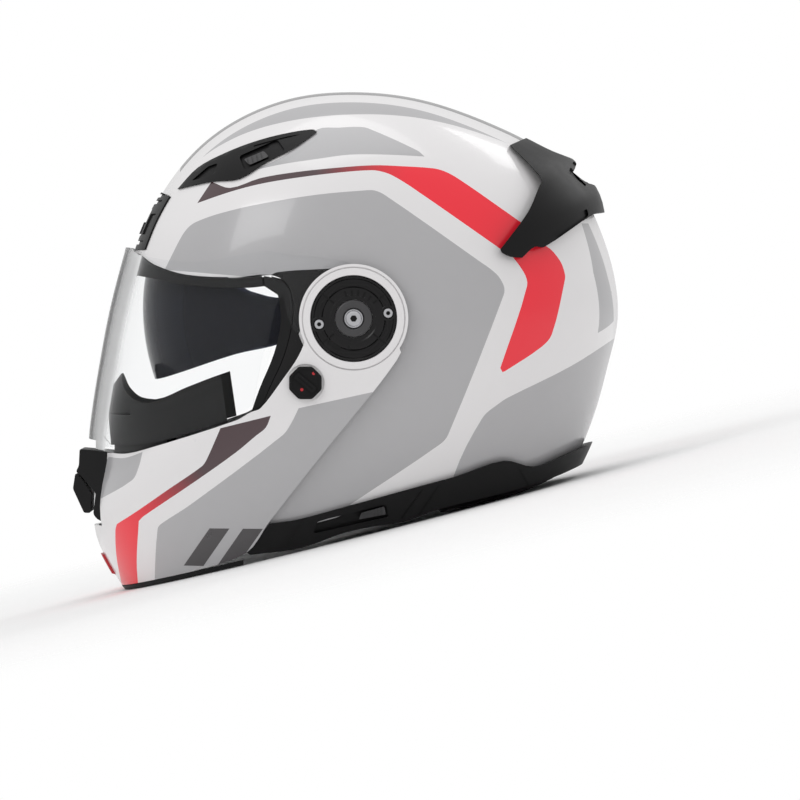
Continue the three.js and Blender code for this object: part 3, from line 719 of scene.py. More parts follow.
VISOR = [
    (-170, 43), (-136.5, 42.5), (-129.5, 38), (-96, 33.5), (-64.5, 38), (-51.5, 40),
    (-37.5, 38), (-21, 36.5), (-2, 33), (20, 22), (20, -18), (-12, -29), (-36, -6), (-42, 14),
    (-46, 7.5), (-50, -9.5), (-53, -20), (-55, -27), (-60, -52), (-70, -58.5), (-127, -77.5),
    (-138, -80.5), (-146.5, -80.5), (-160, -78.5), (-200, -73),
]
SUN_VISOR = [
    (-140, 46), (-118, 56), (-98, 40), (-66, 16), (-20, 9), (0, 9), (0, -9), (-24, -9),
    (-48.5, -16.5), (-71, -21.5), (-110, -34.5), (-122, -37.5), (-140, -38),
]
VENT_BODY = [
    (-167, -79.5), (-147, -81.5), (-147.5, -94), (-149, -104), (-151, -124), (-156, -122),
    (-158.5, -119), (-157, -106), (-166, -96), (-169.5, -93.5), (-167.5, -90),
]
VENT_FLAP = [
    (-170, -94.6), (-171.5, -104), (-164.5, -118.5), (-160.5, -118.5), (-159.8, -106.5),
    (-166.4, -97.2),
]
LINER_FRONT = [
    (-220, 46), (-134, 44), (-118, 38), (-98, 32), (-70, 30), (-48, 31), (-34, 24), (-28, 10),
    (-28, -6), (-34, -26), (-46, -48), (-52, -66), (-56, -90), (-58, -200), (-220, -200),
]
CROWN = [
    (-150, 50), (-96, 44), (-60, 40), (-24, 34), (0, 20), (16, -10), (52, -40), (150, -70),
    (150, 200), (-150, 200),
]
CHEEK = [
    (-26, 8), (-20, 26), (-4, 16), (12, -12), (44, -44), (40, -98), (-4, -108), (-44, -112),
    (-48, -70), (-34, -34),
]
BROW_GASKET = [
    (-160, 39.3), (-134, 39.3), (-120, 31.6), (-100, 25.6), (-70, 24.1), (-54.5, 25.2),
    (-54, 19.5), (-70, 18), (-102, 20), (-122, 24), (-160, 30),
]
SIDE_GASKET = [
    (-53.2, 25.3), (-42.4, 22.6), (-37.4, 15.8), (-36.4, 0), (-41.4, -21.9), (-50.4, -41.9),
    (-57.4, -60), (-63, -62), (-56, -42), (-47, -20), (-43, 0), (-45, 14), (-52.8, 19),
]
RIM_BAND = [
    (-200, -52), (-124, -51), (-106, -44), (-90.5, -38), (-79, -34), (-75, -62), (-130, -76),
    (-200, -76),
]
CHIN_FOAM = [
    (-200, -92), (-130, -90), (-76, -67), (-84, -108), (-87, -143), (-134, -154.5),
    (-200, -175),
]
DEFLECTOR = [
    (-170, -58), (-153, -48), (-142, -34), (-139, -43), (-132, -49.5), (-118, -51),
    (-116, -58),
]
STRAP_PATH = [
    (-98, -71), (-97.5, -86), (-95.5, -100), (-92, -111), (-85, -117), (-72, -119),
    (-58, -118.5), (-48, -115), (-44.5, -107), (-50, -101), (-57.5, -95), (-61, -80),
    (-65, -64),
]
SMALL_SCREWS = {"front": (-20.4, -3.4), "rear": (20.4, 3.2)}
PAD_FACE = 118
DISC_FACE = 124.2
POCKET_DEPTH = 1.6
FIT = 0.35


def above_rim(lift):
    """Solid of everything above the lower edge of the shell, raised by lift."""
    rim = curved([(x, z + lift) for x, z in RIM_LINE], closed=False)
    return across([*rim, (220, -60), (220, 240), (-220, 240), (-220, -132)])


def shrunk(points, cx, cz, share):
    """Outline drawn in towards a point."""
    return [(cx + (x - cx) * share, cz + (z - cz) * share) for x, z in points]


def block(width, depth, height, x, y, z, tilt=0.0, soft=0.0):
    """Box with its width along X, depth along Y and height along Z, its long edges rounded."""
    w, h = width / 2, height / 2
    ring = [(-w, -h), (w, -h), (w, h), (-w, h)]
    if soft:
        ring = rounded(ring, soft, 3)
    c, s = math.cos(tilt), math.sin(tilt)
    ring = [(x + a * c + b * s, z - a * s + b * c) for a, b in ring]
    return across(ring, y - depth / 2, y + depth / 2)


# ---- Shell ---------------------------------------------------------------------------------
def outside(depth):
    """Layer from well outside the shell down to a depth below its surface."""
    return layer("shell", SHELL_HALF + 5, -5, SHELL_HALF - depth, depth)


def make_shell():
    shell = layer("shell", SHELL_HALF, 0, SHELL_HALF - SHELL_WALL, SHELL_WALL)
    cut(shell, across(curved(FACE_OPENING)))
    meet(shell, above_rim(0))
    for side in (-1, 1):
        cut(shell, bar(RING_RADIUS + 1.5, side * PAD_FACE, side * 130))
    pocket = outside(POCKET_DEPTH)
    top = meet(twin(pocket), across(curved(TOP_VENT), -90, -10))
    cut(shell, mirrored(top), top, meet(pocket, across(rounded(BROW_VENT, 5), -42, 42)))
    low, high = CENTRE_STRIPE
    centre = across([(low, 60), (high, 60), (high, 200), (low, 200)], -STRIPE_HALF, STRIPE_HALF)
    regions = [("dark", centre), *((name, across(curved(line))) for name, line in SHELL_REGIONS)]
    for side in (-1, 1):
        band = upright([(80, side * y, z) for y, z in REAR_BAND], Vector((100, 0, 0)))
        leaf = upright([(x, side * y, 60) for x, y in curved(CROWN_LEAF)], Vector((0, 0, 100)))
        regions += [("grey", band), ("grey", leaf)]
    paint(shell, SHELL_HALF, "shell", regions,
          {"white": WHITE, "grey": GREY, "stripe": SIDE_STRIPE, "dark": CROWN_STRIPE, "port": GLOSSY})
    place(shell, "outer_shell_painted", WHITE, "shell", ["outer_shell"])
    true_normals(shell, (SHELL_HALF, "shell", 0), (SHELL_HALF - SHELL_WALL, "shell", SHELL_WALL))


def make_vents():
    cover = layer("shell", SHELL_HALF + 0.9, -0.9, SHELL_HALF - POCKET_DEPTH + FIT, POCKET_DEPTH - FIT)
    raised = layer("shell", SHELL_HALF + 1.7, -1.7, SHELL_HALF, 0)
    seat = outside(0.55)

    top = meet(twin(cover), across(curved(shrunk(TOP_VENT, -60, 95, 0.985)), -89.5, -10.5))
    slot = rounded([(-69, 97), (-46, 107), (-41, 100), (-65.5, 88.5)], 2)
    cut(top, meet(twin(seat), across(slot, -90, -10)))
    # Air intake and a shallow groove along the cover.
    deep = outside(0.2)
    intake = rounded([(-98, 82.5), (-88, 91), (-82, 93), (-84, 86.5), (-92, 84)], 1.5)
    groove = curved([(-60, 103.5), (-40, 108.7), (-32, 110), (-40, 107.6), (-60, 102.4)])
    cut(top, meet(deep, across(intake, -90, -10)))
    cut(top, meet(outside(-0.4), across(groove, -90, -10)))
    place_pair(top, "top_vent_cover", SATIN, "shell", "top_vent")

    knob = rounded([(-66, 95), (-54, 100), (-51, 96.5), (-62.5, 91.5)], 1.2)
    switch = meet(twin(raised), across(knob, -88, -12))
    for step in range(4):
        x = -63.2 + step * 2.7
        z = 94.3 + step * 1.15
        ridge = across([(x, z - 2.8), (x + 0.9, z - 2.4), (x - 0.6, z + 3), (x - 1.5, z + 2.6)], -88, -12)
        cut(switch, meet(outside(-1.1), ridge))
    other = mirrored(switch)
    place(switch, "top_vent_slide_l", SWITCH, "top_switch_left", ["top_vent_switch_left"])
    place(other, "top_vent_slide_r", SWITCH, "top_switch_right", ["top_vent_switch_right"])

    brow = meet(cover, across(rounded(shrunk(BROW_VENT, -125, 58, 0.985), 4), -41.5, 41.5))
    cut(brow, meet(seat, across(rounded([(-150, 50), (-100, 50), (-100, 66), (-150, 66)], 1), -14, 14)))
    carve = outside(0.3)
    for z in (44.5, 69, 73):
        louvre = rounded([(-150, z), (-104, z), (-104, z + 2.2), (-150, z + 2.2)], 0.6)
        cut(brow, meet(twin(carve), across(louvre, -32, 32)))
    for side in (-1, 1):
        start, end = sorted((side * 20, side * 35))
        scoop = rounded([(-150, 50.5), (-110, 50.5), (-106, 63), (-150, 63)], 2)
        cut(brow, meet(twin(carve), across(scoop, start, end)))
    bpy.data.objects.remove(carve)
    place(brow, "brow_vent_cover", SATIN, "shell", ["brow_vent"])
    slide = meet(raised, across(rounded([(-150, 51), (-100, 51), (-100, 58), (-150, 58)], 1), -9, 9))
    for z in (53, 55.2):
        cut(slide, meet(outside(-1.1),
                        across([(-150, z), (-100, z), (-100, z + 1), (-150, z + 1)], -7.5, 7.5)))
    place(slide, "brow_vent_slide", SWITCH, "brow_switch", ["brow_vent_switch"])


def make_spoiler():
    spoiler = cut(dome(SHELL_HALF + 4.5, "spoiler"), dome(SHELL_HALF + FIT, "shell", -FIT))
    meet(spoiler, across(curved(SPOILER, 4, 42)))
    # Extractor slots on each side and the parting notch along the tail.
    sink = layer("spoiler", SHELL_HALF + 15, -10, SHELL_HALF + 3.2, 1.3)
    slots = [
        rounded([(118, 50), (140, 66), (141, 61.5), (122, 48)], 1.5),
        rounded([(131, 88.5), (140, 80.5), (139.2, 79.4), (129.6, 87.4)], 0.4),
    ]
    for outline in slots:
        cut(spoiler, meet(twin(sink), across(outline)))
    for x in (-42, -21, 0, 21, 42):
        cut(spoiler, meet(twin(sink), block(16, 13, 8.5, 138, x, 88, 0.5, 2)))
    bpy.data.objects.remove(sink)
    place(spoiler, "rear_spoiler_wing", SATIN, "shell", ["rear_spoiler"], 30)


def make_trim():
    trim = cut(dome(SHELL_HALF + 2.2, "shell", -5), dome(SHELL_HALF - SHELL_WALL, "shell", SHELL_WALL))
    meet(trim, across(curved(TRIM, 4, 42)))
    cut(trim, meet(above_rim(-FIT), dome(SHELL_HALF + FIT, "shell", -FIT)))
    slot = rounded([(-24, -128), (-22, -121), (-15.5, -119), (4, -114.3), (19, -110.6), (20.5, -118),
                    (2.5, -122)], 1.5)
    cut(trim, meet(layer("shell", SHELL_HALF + 8, -9, SHELL_HALF - 0.2, -2.4), across(slot, -130, -96)))
    # Etched lines and the panel line, on both sides.
    etch = layer("shell", SHELL_HALF + 8, -12, SHELL_HALF + 1.7, -4.5)
    lines = [((-30.5, -119), (-41, -135.4)), ((40.6, -101.2), (27.6, -119.2)), ((50.4, -99), (37.8, -117.4)),
             ((97, -88.5), (104, -100.5))]
    for (x0, z0), (x1, z1) in lines:
        groove = [(x0, z0), (x0 + 0.9, z0), (x1 + 0.9, z1), (x1, z1)]
        cut(trim, meet(twin(etch), across(groove, -140, 140)))
    bpy.data.objects.remove(etch)
    place(trim, "base_trim_band", SATIN, "shell", ["base_trim"], 30)
    true_normals(trim, (SHELL_HALF + 2.2, "shell", -5))

    knob = layer("shell", SHELL_HALF + 4, -7, SHELL_HALF + 1.6, -4)
    meet(knob, across(rounded([(3, -119.5), (4.5, -115.5), (18, -111.8), (19, -116.5)], 0.8), -130, -96.5))
    for step in range(6):
        x = 5.4 + step * 2.1
        z = -117.5 + step * 0.6
        rib = across([(x, z - 3), (x + 0.9, z - 2.8), (x + 0.5, z + 4), (x - 0.4, z + 3.8)], -130, -96.5)
        cut(knob, meet(layer("shell", SHELL_HALF + 9, -12, SHELL_HALF + 3.3, -6.2), rib))
    place(knob, "sun_visor_slide_knob", SWITCH, "slider", ["sun_visor_slider"])


# ---- Pivots --------------------------------------------------------------------------------
def paint_socket_shade(piece, deeper_than, x, z, radius):
    """Paints shade into the floor and walls of a socket: they take the dark satin plastic in place of steel,
    as painted shade in the hollow.
    """
    piece.data.materials.clear()
    piece.data.materials.append(STEEL)
    piece.data.materials.append(SATIN)
    for face in piece.data.polygons:
        near = math.hypot(face.center.x - x, face.center.z - z) < radius
        face.material_index = int(near and abs(face.center.y) < deeper_than)


def screw(radius, floor, face, x, z, sides=6):
    """Screw head with a rounded rim and a socket."""
    depth = min(1.6, abs(face - floor) * 0.6)
    sign = 1 if face > floor else -1
    chamfer = radius * 0.12
    head = turned([(0, floor), (radius, floor), (radius, face - sign * chamfer),
                   (radius - chamfer * 0.4, face - sign * chamfer * 0.4), (radius - chamfer, face),
                   (0, face)], x, z, 48)
    socket = bar(radius * 0.48, face - sign * depth, face + sign, x, z, sides)
    cut(head, socket)
    # Painted shade: the socket's floor and walls take the dark plastic.
    paint_socket_shade(head, abs(face) - 0.1, x, z, radius * 0.5)
    return head


def make_pivots():
    face = -DISC_FACE
    disc = turned([
        (HUB_RADIUS + FIT, -PAD_FACE - FIT), (DISC_RADIUS, -PAD_FACE - FIT), (DISC_RADIUS, face + 1.2),
        (DISC_RADIUS - 0.5, face + 0.5), (DISC_RADIUS - 1.4, face + 0.25), (DISC_RADIUS - 2.2, face + 0.9),
        (DISC_RADIUS - 6.4, face + 0.9), (DISC_RADIUS - 7.2, face + 0.25), (DISC_RADIUS - 8.6, face),
        (HUB_RADIUS + 3.4, face), (HUB_RADIUS + 2.6, face + 0.5), (HUB_RADIUS + FIT, face + 0.5),
    ], segments=144)
    rim = 8
    ring = [((DISC_RADIUS - 3) * math.cos(math.tau * (i + 0.5) / rim),
             (DISC_RADIUS - 3) * math.sin(math.tau * (i + 0.5) / rim)) for i in range(rim)]
    octagon = across(rounded(ring, 2), face - 0.5, -PAD_FACE - 3)
    cut(octagon, across(rounded(shrunk(ring, 0, 0, 0.94), 2), face - 1, -PAD_FACE))
    meet(octagon, across([(-40, -40), (40, -40), (40, 40), (-40, 40)], face - 0.1, face + 1.6))
    join(disc, octagon)
    for x, z in SMALL_SCREWS.values():
        collar = turned([(3.15, -PAD_FACE - 2), (4.6, -PAD_FACE - 2), (4.6, face + 0.35), (4.1, face + 0.1),
                         (3.4, face + 0.1), (3.15, face + 0.35)], x, z, 48)
        cut(disc, bar(3.15, -PAD_FACE - 3, -130, x, z, 48))
        join(disc, cut(collar, bar(3.15, -PAD_FACE - 3, -130, x, z, 48)))
    # Radial parting lines, a slot at the lower front and a small pointer beside it.
    for degrees in (38, 142, 218, 322):
        a = math.radians(degrees)
        spoke = block(9.2, 3, 0.9, 19.4 * math.cos(a), face + 0.3, 19.4 * math.sin(a), -a)
        cut(disc, spoke)
    cut(disc, block(8.5, 3, 2.8, -11.5, face + 0.6, -15.8, 0.55, 0.7))
    cut(disc, across([(-4.4, -18.2), (-1.4, -18.4), (-2.8, -15.8)], face - 1, face + 0.7))
    for start in (52, 66, 80, 94, 108):
        a = math.radians(start)
        cut(disc, block(1.1, 3, 3.4, 15.2 * math.cos(a), face - 0.2, 15.2 * math.sin(a), math.pi / 2 - a))
    place_pair(disc, "pivot_disc_cap", GLOSSY, "shell", "pivot_disc", 28)

    top = face - 0.6
    hub = turned([(6.35, -PAD_FACE - 5), (6.35, top + 0.4), (6.8, top), (9.9, top), (10.5, top + 0.3),
                  (HUB_RADIUS, top + 0.8), (HUB_RADIUS, -PAD_FACE - 2 - FIT), (0, -PAD_FACE - 2 - FIT),
                  (0, -PAD_FACE - 4)], segments=96)
    place_pair(hub, "pivot_hub_ring", SWITCH, "shell", "pivot_hub", 28)
    centre = turned([(0, face + 1.6), (6, face + 1.6), (6, face + 0.4), (5.4, face - 0.2), (4.9, face - 0.2),
                     (4.3, face + 0.5), (3.6, face + 0.75), (0, face + 0.55)], segments=72)
    cut(centre, bar(2.1, face + 1.3, face - 2, 0, 0, 6))
    # Painted shade: the socket's floor and walls take the dark plastic.
    paint_socket_shade(centre, abs(face) - 0.6, 0, 0, 2.2)
    place_pair(centre, "pivot_screw_head", STEEL, "shell", "pivot_screw", 28)
    for where, (x, z) in SMALL_SCREWS.items():
        small = screw(2.8, face + 2.6, face - 0.2, x, z)
        place_pair(small, f"{where}_screw_head", STEEL, "shell", f"{where}_screw", 28)


# ---- Chin bar ------------------------------------------------------------------------------
VENT_HALF = 36
BUTTON_HALF = 13


def make_chin_bar():
    bore = bar(DISC_RADIUS + FIT, -140, 140, segments=144)
    outline = cut(join(across(curved(CHIN_BAR)), bar(RING_RADIUS, -140, 140, segments=144)), bore)
    chin = meet(layer("chin", ARM_HALF, 0, ARM_HALF - ARM_WALL, ARM_WALL), outline)
    window = [(-200, -72), (-130, -72), (-142, -103), (-146, -126), (-200, -126)]
    cut(chin, across(window, -VENT_HALF, VENT_HALF))
    cut(chin, bar(11.2, -140, -ARM_HALF + ARM_WALL - 0.9, -28.5, -38))
    cut(chin, block(50, 2 * BUTTON_HALF + 2 * FIT, 11, -140, 0, -152, 0.2, 2))
    meet(chin, above_floor(3))
    # Fine groove round the pivot ring.
    for side in (-1, 1):
        ends = sorted((side * (ARM_HALF - 2.0), side * 140))
        groove = bar(RING_RADIUS - 1.6, *ends, segments=144)
        cut(chin, cut(groove, bar(RING_RADIUS - 2.4, -141, 141, segments=144)))
    regions = [(name, across(curved(line))) for name, line in CHIN_REGIONS]
    paint(chin, ARM_HALF, "chin", regions,
          {"white": WHITE, "grey": GREY, "stripe": CHIN_STRIPE, "dark": DARK})
    place(chin, "chin_bar_painted", WHITE, "chin_bar", ["chin_bar"])
    true_normals(chin, (ARM_HALF, "chin", 0), (ARM_HALF - ARM_WALL, "chin", ARM_WALL))

    edge = layer("chin", ARM_HALF + 0.2, -0.2, ARM_HALF - 7, 7)
    band = cut(across([(-220, floor_at(-220)), (-66, floor_at(-66)), (-66, 240), (-220, 240)]),
               above_floor(3 - FIT))
    place(meet(edge, band), "chin_edge_seal", RUBBER, "chin_bar", ["chin_edge_trim"])

    gasket = layer("chin", ARM_HALF - 7, 7, ARM_HALF - 9.6, 9.6)
    meet(gasket, across(curved(RIM_BAND)))
    cut(gasket, across([(-200, -40), (-200, -58.5), (-100, -58.5), (-100, -40)], -57, 57))
    for side in (-1, 1):
        lip = layer("chin", ARM_HALF - 9, 9, ARM_HALF - 11.5, 11.5)
        start, end = sorted((side * 12, side * 135))
        side_view = [(-200, -73), (-128, -73), (-112, -69), (-112, -79), (-128, -83), (-200, -83)]
        meet(lip, across(side_view, start, end))
        join(gasket, lip)
    place(gasket, "chin_rim_gasket", RUBBER, "chin_bar", ["chin_bar_gasket"])

    foam = meet(layer("chin", ARM_HALF - ARM_WALL - FIT, ARM_WALL + FIT, ARM_HALF - 16, 16),
                across(curved(CHIN_FOAM)))
    cut(foam, block(34, 2 * BUTTON_HALF + 6, 24, -134, 0, -148, 0.2, 3))
    cut(foam, across([(-200, -68), (-118, -68), (-128, -129), (-200, -129)], -VENT_HALF - 1, VENT_HALF + 1))
    for side in (-1, 1):
        for x, z in ((-112, -112), (-98, -122), (-108, -132)):
            cut(foam, bar(3.2, side * 60, side * (ARM_HALF - 12), x, z, 24))
    place(foam, "chin_foam", FOAM, "chin_bar", ["chin_bar_liner"])

    button = meet(layer("chin", ARM_HALF + 1.6, -1.6, ARM_HALF - 5, 5),
                  block(40, 2 * BUTTON_HALF, 10.2, -140, 0, -152, 0.2, 2))
    proud = layer("chin", ARM_HALF + 9, -9, ARM_HALF + 1, -1)
    for y in range(-9, 10, 3):
        cut(button, meet(twin(proud), block(50, 1.2, 6.5, -140, y, -152, 0.2)))
    bpy.data.objects.remove(proud)
    place(button, "release_push", BUTTON_RED, "release_button", ["release_button"])

    deflector = meet(layer("deflector", 96, 0, 93.6, 2), across(curved(DEFLECTOR, 4, 42), -56, 56))
    place(deflector, "breath_guard", RUBBER, "chin_bar", ["breath_deflector"])


def wedge(points, half, back_half):
    """Side outline carried across, its sides drawn in towards the front."""
    solid = across(points, -half, half)
    slope = (half - back_half) / 30
    for side in (-1, 1):
        plan = [(-176, side * (half - slope * 26)), (-140, side * (half + slope * 10)), (-140, side * 80),
                (-176, side * 80)]
        vertices = [(x, y, -150) for x, y in plan] + [(x, y, -60) for x, y in plan]
        faces = [(0, 1, 2, 3), (7, 6, 5, 4), *((i, 4 + i, 4 + (i + 1) % 4, (i + 1) % 4) for i in range(4))]
        corner = make_object("corner", vertices, faces)
        tidy(corner)
        cut(solid, corner)
    return solid


def make_chin_vent():
    housing = wedge(rounded(VENT_BODY, 1.6), VENT_HALF - 1, 12)
    for z in (-84, -88):
        louvre = rounded([(-180, z), (-163.5, z), (-163.5, z + 2.2), (-180, z + 2.2)], 0.5)
        cut(housing, across(louvre, -14, 14))
    place(housing, "chin_vent_frame", SATIN, "chin_bar", ["chin_vent_housing"], 30)
    flap = wedge(rounded(VENT_FLAP, 1.2), VENT_HALF - 6, 8)
    for y in (-9, -3, 3, 9):
        slot = rounded([(-180, -104), (-169.4, -104), (-166.5, -110), (-180, -110)], 0.6)
        cut(flap, across(slot, y - 1.6, y + 1.6))
    place(flap, "chin_vent_shutter", SATIN, "chin_flap", ["chin_vent_flap"], 30)


# ---- Visors --------------------------------------------------------------------------------
def make_visors():
    bore = bar(DISC_RADIUS + FIT, -140, 140, segments=144)
    outline = cut(join(across(curved(VISOR)), bar(RING_RADIUS - 1.5, -140, 140, segments=144)), bore)
    room = cut(across([(-200, -100), (-200, -70), (-156.5, -74), (-156.5, -100)], -38, 38),
               dome(ARM_HALF + 30, "visor", 4))
    visor = cut(meet(layer("visor", VISOR_HALF, 0, VISOR_HALF - VISOR_WALL, VISOR_WALL), outline), room)
    tab = meet(layer("visor", VISOR_HALF + 2.6, -2.6, VISOR_HALF - 0.4, 0.4),
               across(rounded([(-152, -70), (-146, -76.5), (-136, -73.5), (-139, -68)], 2), -112, -12))
    join(visor, tab)
    place(visor, "clear_visor", CLEAR, "visor", ["visor"])
    true_normals(visor, (VISOR_HALF, "visor", 0), (VISOR_HALF - VISOR_WALL, "visor", VISOR_WALL))

    outline = join(across(curved(SUN_VISOR)), bar(9, -140, 140, segments=96))
    sun = meet(layer("sun", SUN_HALF, 0, SUN_HALF - SUN_WALL, SUN_WALL), cut(outline, bar(3.4, -140, 140)))
    place(sun, "smoke_sun_visor", SMOKE, "sun_visor", ["sun_visor"])
    true_normals(sun, (SUN_HALF, "sun", 0), (SUN_HALF - SUN_WALL, "sun", SUN_WALL))
    pin = turned([(0, -110.2 + 0.4), (6, -110.2 + 0.4), (6, -110.7), (5.5, -111), (3, -111), (3, -114.8),
                  (2.6, -115.2), (0, -115.2)], segments=48)
    place_pair(pin, "sun_visor_pin", SWITCH, "shell", "sun_visor_pivot", 28)

    brow = meet(layer("shell", SHELL_HALF + 0.8, -1.2, SHELL_HALF - 3.2, 6.5), across(curved(BROW_GASKET)))
    place(brow, "brow_seal", RUBBER, "shell", ["brow_gasket"])
    side = meet(layer("shell", SHELL_HALF, 0, SHELL_HALF - 4.5, 4.5), across(curved(SIDE_GASKET), -140, -20))
    place_pair(side, "side_seal", RUBBER, "shell", "side_gasket")


# ---- Lever and latches ---------------------------------------------------------------------
def make_lever():
    face = -126.4
    x, z, reach, sides = -28.5, -38, 10.4, 8
    turns = [math.tau * (i + 0.5) / sides for i in range(sides)]
    cap = [(x + reach * math.cos(a), z + reach * math.sin(a)) for a in turns]
    lever = across(rounded(cap, 1.2, 3), face, -ARM_HALF + ARM_WALL - 1.3)
    cut(lever, across(rounded(shrunk(cap, x, z, 0.82), 1, 3), face - 1, face + 0.5))
    grip = block(15, 2.2, 4.2, x, -127.0, z, 0.7, 1.2)
    join(lever, grip)
    cut(lever, block(11, 1, 0.8, x, -128.1, z, 0.7))
    place(lever, "ride_lever_cap", SATIN, "ride_lever", ["ride_lever"], 28)
    for number, (x, z) in enumerate(((-23.6, -32.4), (-30.6, -42.0))):
        dot = turned([(0, face + 0.9), (0.95, face + 0.9), (0.95, face + 0.3), (0, face + 0.2)], x, z, 24)
        place(dot, f"ride_lever_dot_{number}", BUTTON_RED, "ride_lever", [])


def make_latches():
    hook = across(rounded([(-82, -134), (-79, -117), (-75, -117), (-75.5, -123.5), (-67, -127), (-68, -131),
                           (-75.5, -130.5), (-76, -134)], 1), -90, -86)
    cut(hook, bar(1.4, -92, -84, -78.4, -130, 24))
    other = mirrored(hook)
    place(hook, "latch_hook_l", STEEL, "latch_left", ["latch_hook_left"], 28)
    place(other, "latch_hook_r", STEEL, "latch_right", ["latch_hook_right"], 28)
    plate = across(rounded([(-66, -130), (-66, -112), (-54, -106), (-54, -124)], 2), -88, -85)
    cut(plate, bar(2.6, -95, -80, -60, -118, 48))
    place_pair(plate, "striker_plate", STEEL, "shell", "striker", 28)


# ---- Linings and pads ----------------------------------------------------------------------
STRAP_X = -14
STRAP_WIDTH = 22
RIVET_Z = -80


def make_foam():
    foam = cut(dome(FOAM_HALF, "shell", SHELL_WALL + FIT), dome(FOAM_INNER_HALF, "shell", 34))
    cut(foam, across(curved(LINER_FRONT)))
    pocket = cut(dome(150, "sun", -30), dome(FOAM_HALF, "sun", 7))
    meet(pocket, across([(0, 30), (10, 120), (-60, 160), (-220, 160), (-220, -60), (-30, -40), (0, -20)]))
    cut(foam, pocket)
    meet(foam, above_rim(22))
    for side in (-1, 1):
        cut(foam, block(STRAP_WIDTH + 5, 20, 38, STRAP_X, side * 102, -86))
    place(foam, "bead_foam_liner", FOAM, "shell", ["impact_liner"])


def remeshed(piece, size):
    """Solid rebuilt from even cells."""
    remesh = piece.modifiers.new("remesh", "REMESH")
    remesh.mode = "VOXEL"
    remesh.voxel_size = size
    apply_modifiers(piece)
    return piece


def apply_modifiers(piece):
    depsgraph = bpy.context.evaluated_depsgraph_get()
    mesh = bpy.data.meshes.new_from_object(piece.evaluated_get(depsgraph))
    piece.modifiers.clear()
    piece.data = mesh


def points_of(piece):
    return np.array([v.co for v in piece.data.vertices])


def move_points(piece, points):
    piece.data.vertices.foreach_set("co", points.astype(np.float32).ravel())
    piece.data.update()


SWELL_FRAMES = 20


def puffed(piece, voxel=4.5, shrink=1.8, swell=3.5):
    """Stuffed pad: the plain solid, drawn in a little and swelled by air pressure as cloth."""
    remeshed(piece, voxel)
    start = points_of(piece)
    normals = np.array([v.normal for v in piece.data.vertices])
    start = start - normals * shrink
    move_points(piece, start)
    piece.data.transform(Matrix.Scale(0.001, 4))
    cloth = piece.modifiers.new("cloth", "CLOTH")
    cloth.settings.use_pressure = True
    cloth.settings.uniform_pressure_force = 4
    cloth.settings.effector_weights.gravity = 0
    cloth.settings.quality = 5
    cloth.point_cache.frame_start = 1
    cloth.point_cache.frame_end = SWELL_FRAMES
    for step in range(1, SWELL_FRAMES + 1):
        bpy.context.scene.frame_set(step)
    apply_modifiers(piece)
    bpy.context.scene.frame_set(1)
    piece.data.transform(Matrix.Scale(1000, 4))
    moved = points_of(piece) - start
    far = np.linalg.norm(moved, axis=1)
    scale = np.minimum(1, swell / np.maximum(far, 1e-6))
    move_points(piece, start + moved * scale[:, None])
    finer = piece.modifiers.new("finer", "SUBSURF")
    finer.levels = finer.render_levels = 1
    apply_modifiers(piece)
    return piece


def kept_inside(piece, half, line, inset):
    """Draws in any point that stands outside a dome."""
    points = points_of(piece)
    share = on_dome(points, half, line, inset)
    factor = np.where(share > 1, share ** -0.44, 1.0)
    move_points(piece, points * factor[:, None])


def sewn(piece, distances, depth=1.6, width=2.2):
    """Presses sewn channels into a pad: distances is an array of each point's distance to a seam."""
    points = points_of(piece)
    normals = np.array([v.normal for v in piece.data.vertices])
    press = depth * np.exp(-((distances / width) ** 2))
    move_points(piece, points - normals * press[:, None])


def finish_pad(piece, name, material, node):
    place(piece, name, material, "shell", [node], 60)


def to_lines(xs, zs, path):
    """Distance of each point, seen from the side, to a path of joined lines."""
    best = np.full(len(xs), 1e9)
    for (x0, z0), (x1, z1) in zip(path, path[1:]):
        dx, dz = x1 - x0, z1 - z0
        t = np.clip(((xs - x0) * dx + (zs - z0) * dz) / (dx * dx + dz * dz), 0, 1)
        best = np.minimum(best, np.hypot(xs - x0 - t * dx, zs - z0 - t * dz))
    return best


def piping(path, radius, name):
    """Round bead along a path of 3-D points of the working frame."""
    curve = bpy.data.curves.new(name, "CURVE")
    curve.dimensions = "3D"
    curve.bevel_depth = radius
    curve.bevel_resolution = 3
    curve.use_fill_caps = True
    spline = curve.splines.new("POLY")
    spline.points.add(len(path) - 1)
    for point, at in zip(spline.points, path):
        point.co = (*at, 1)
    holder = bpy.data.objects.new(name, curve)
    bpy.context.scene.collection.objects.link(holder)
    depsgraph = bpy.context.evaluated_depsgraph_get()
    mesh = bpy.data.meshes.new_from_object(holder.evaluated_get(depsgraph))
    bpy.data.objects.remove(holder)
    piece = bpy.data.objects.new(name, mesh)
    bpy.context.scene.collection.objects.link(piece)
    piece.data.materials.clear()
    return piece


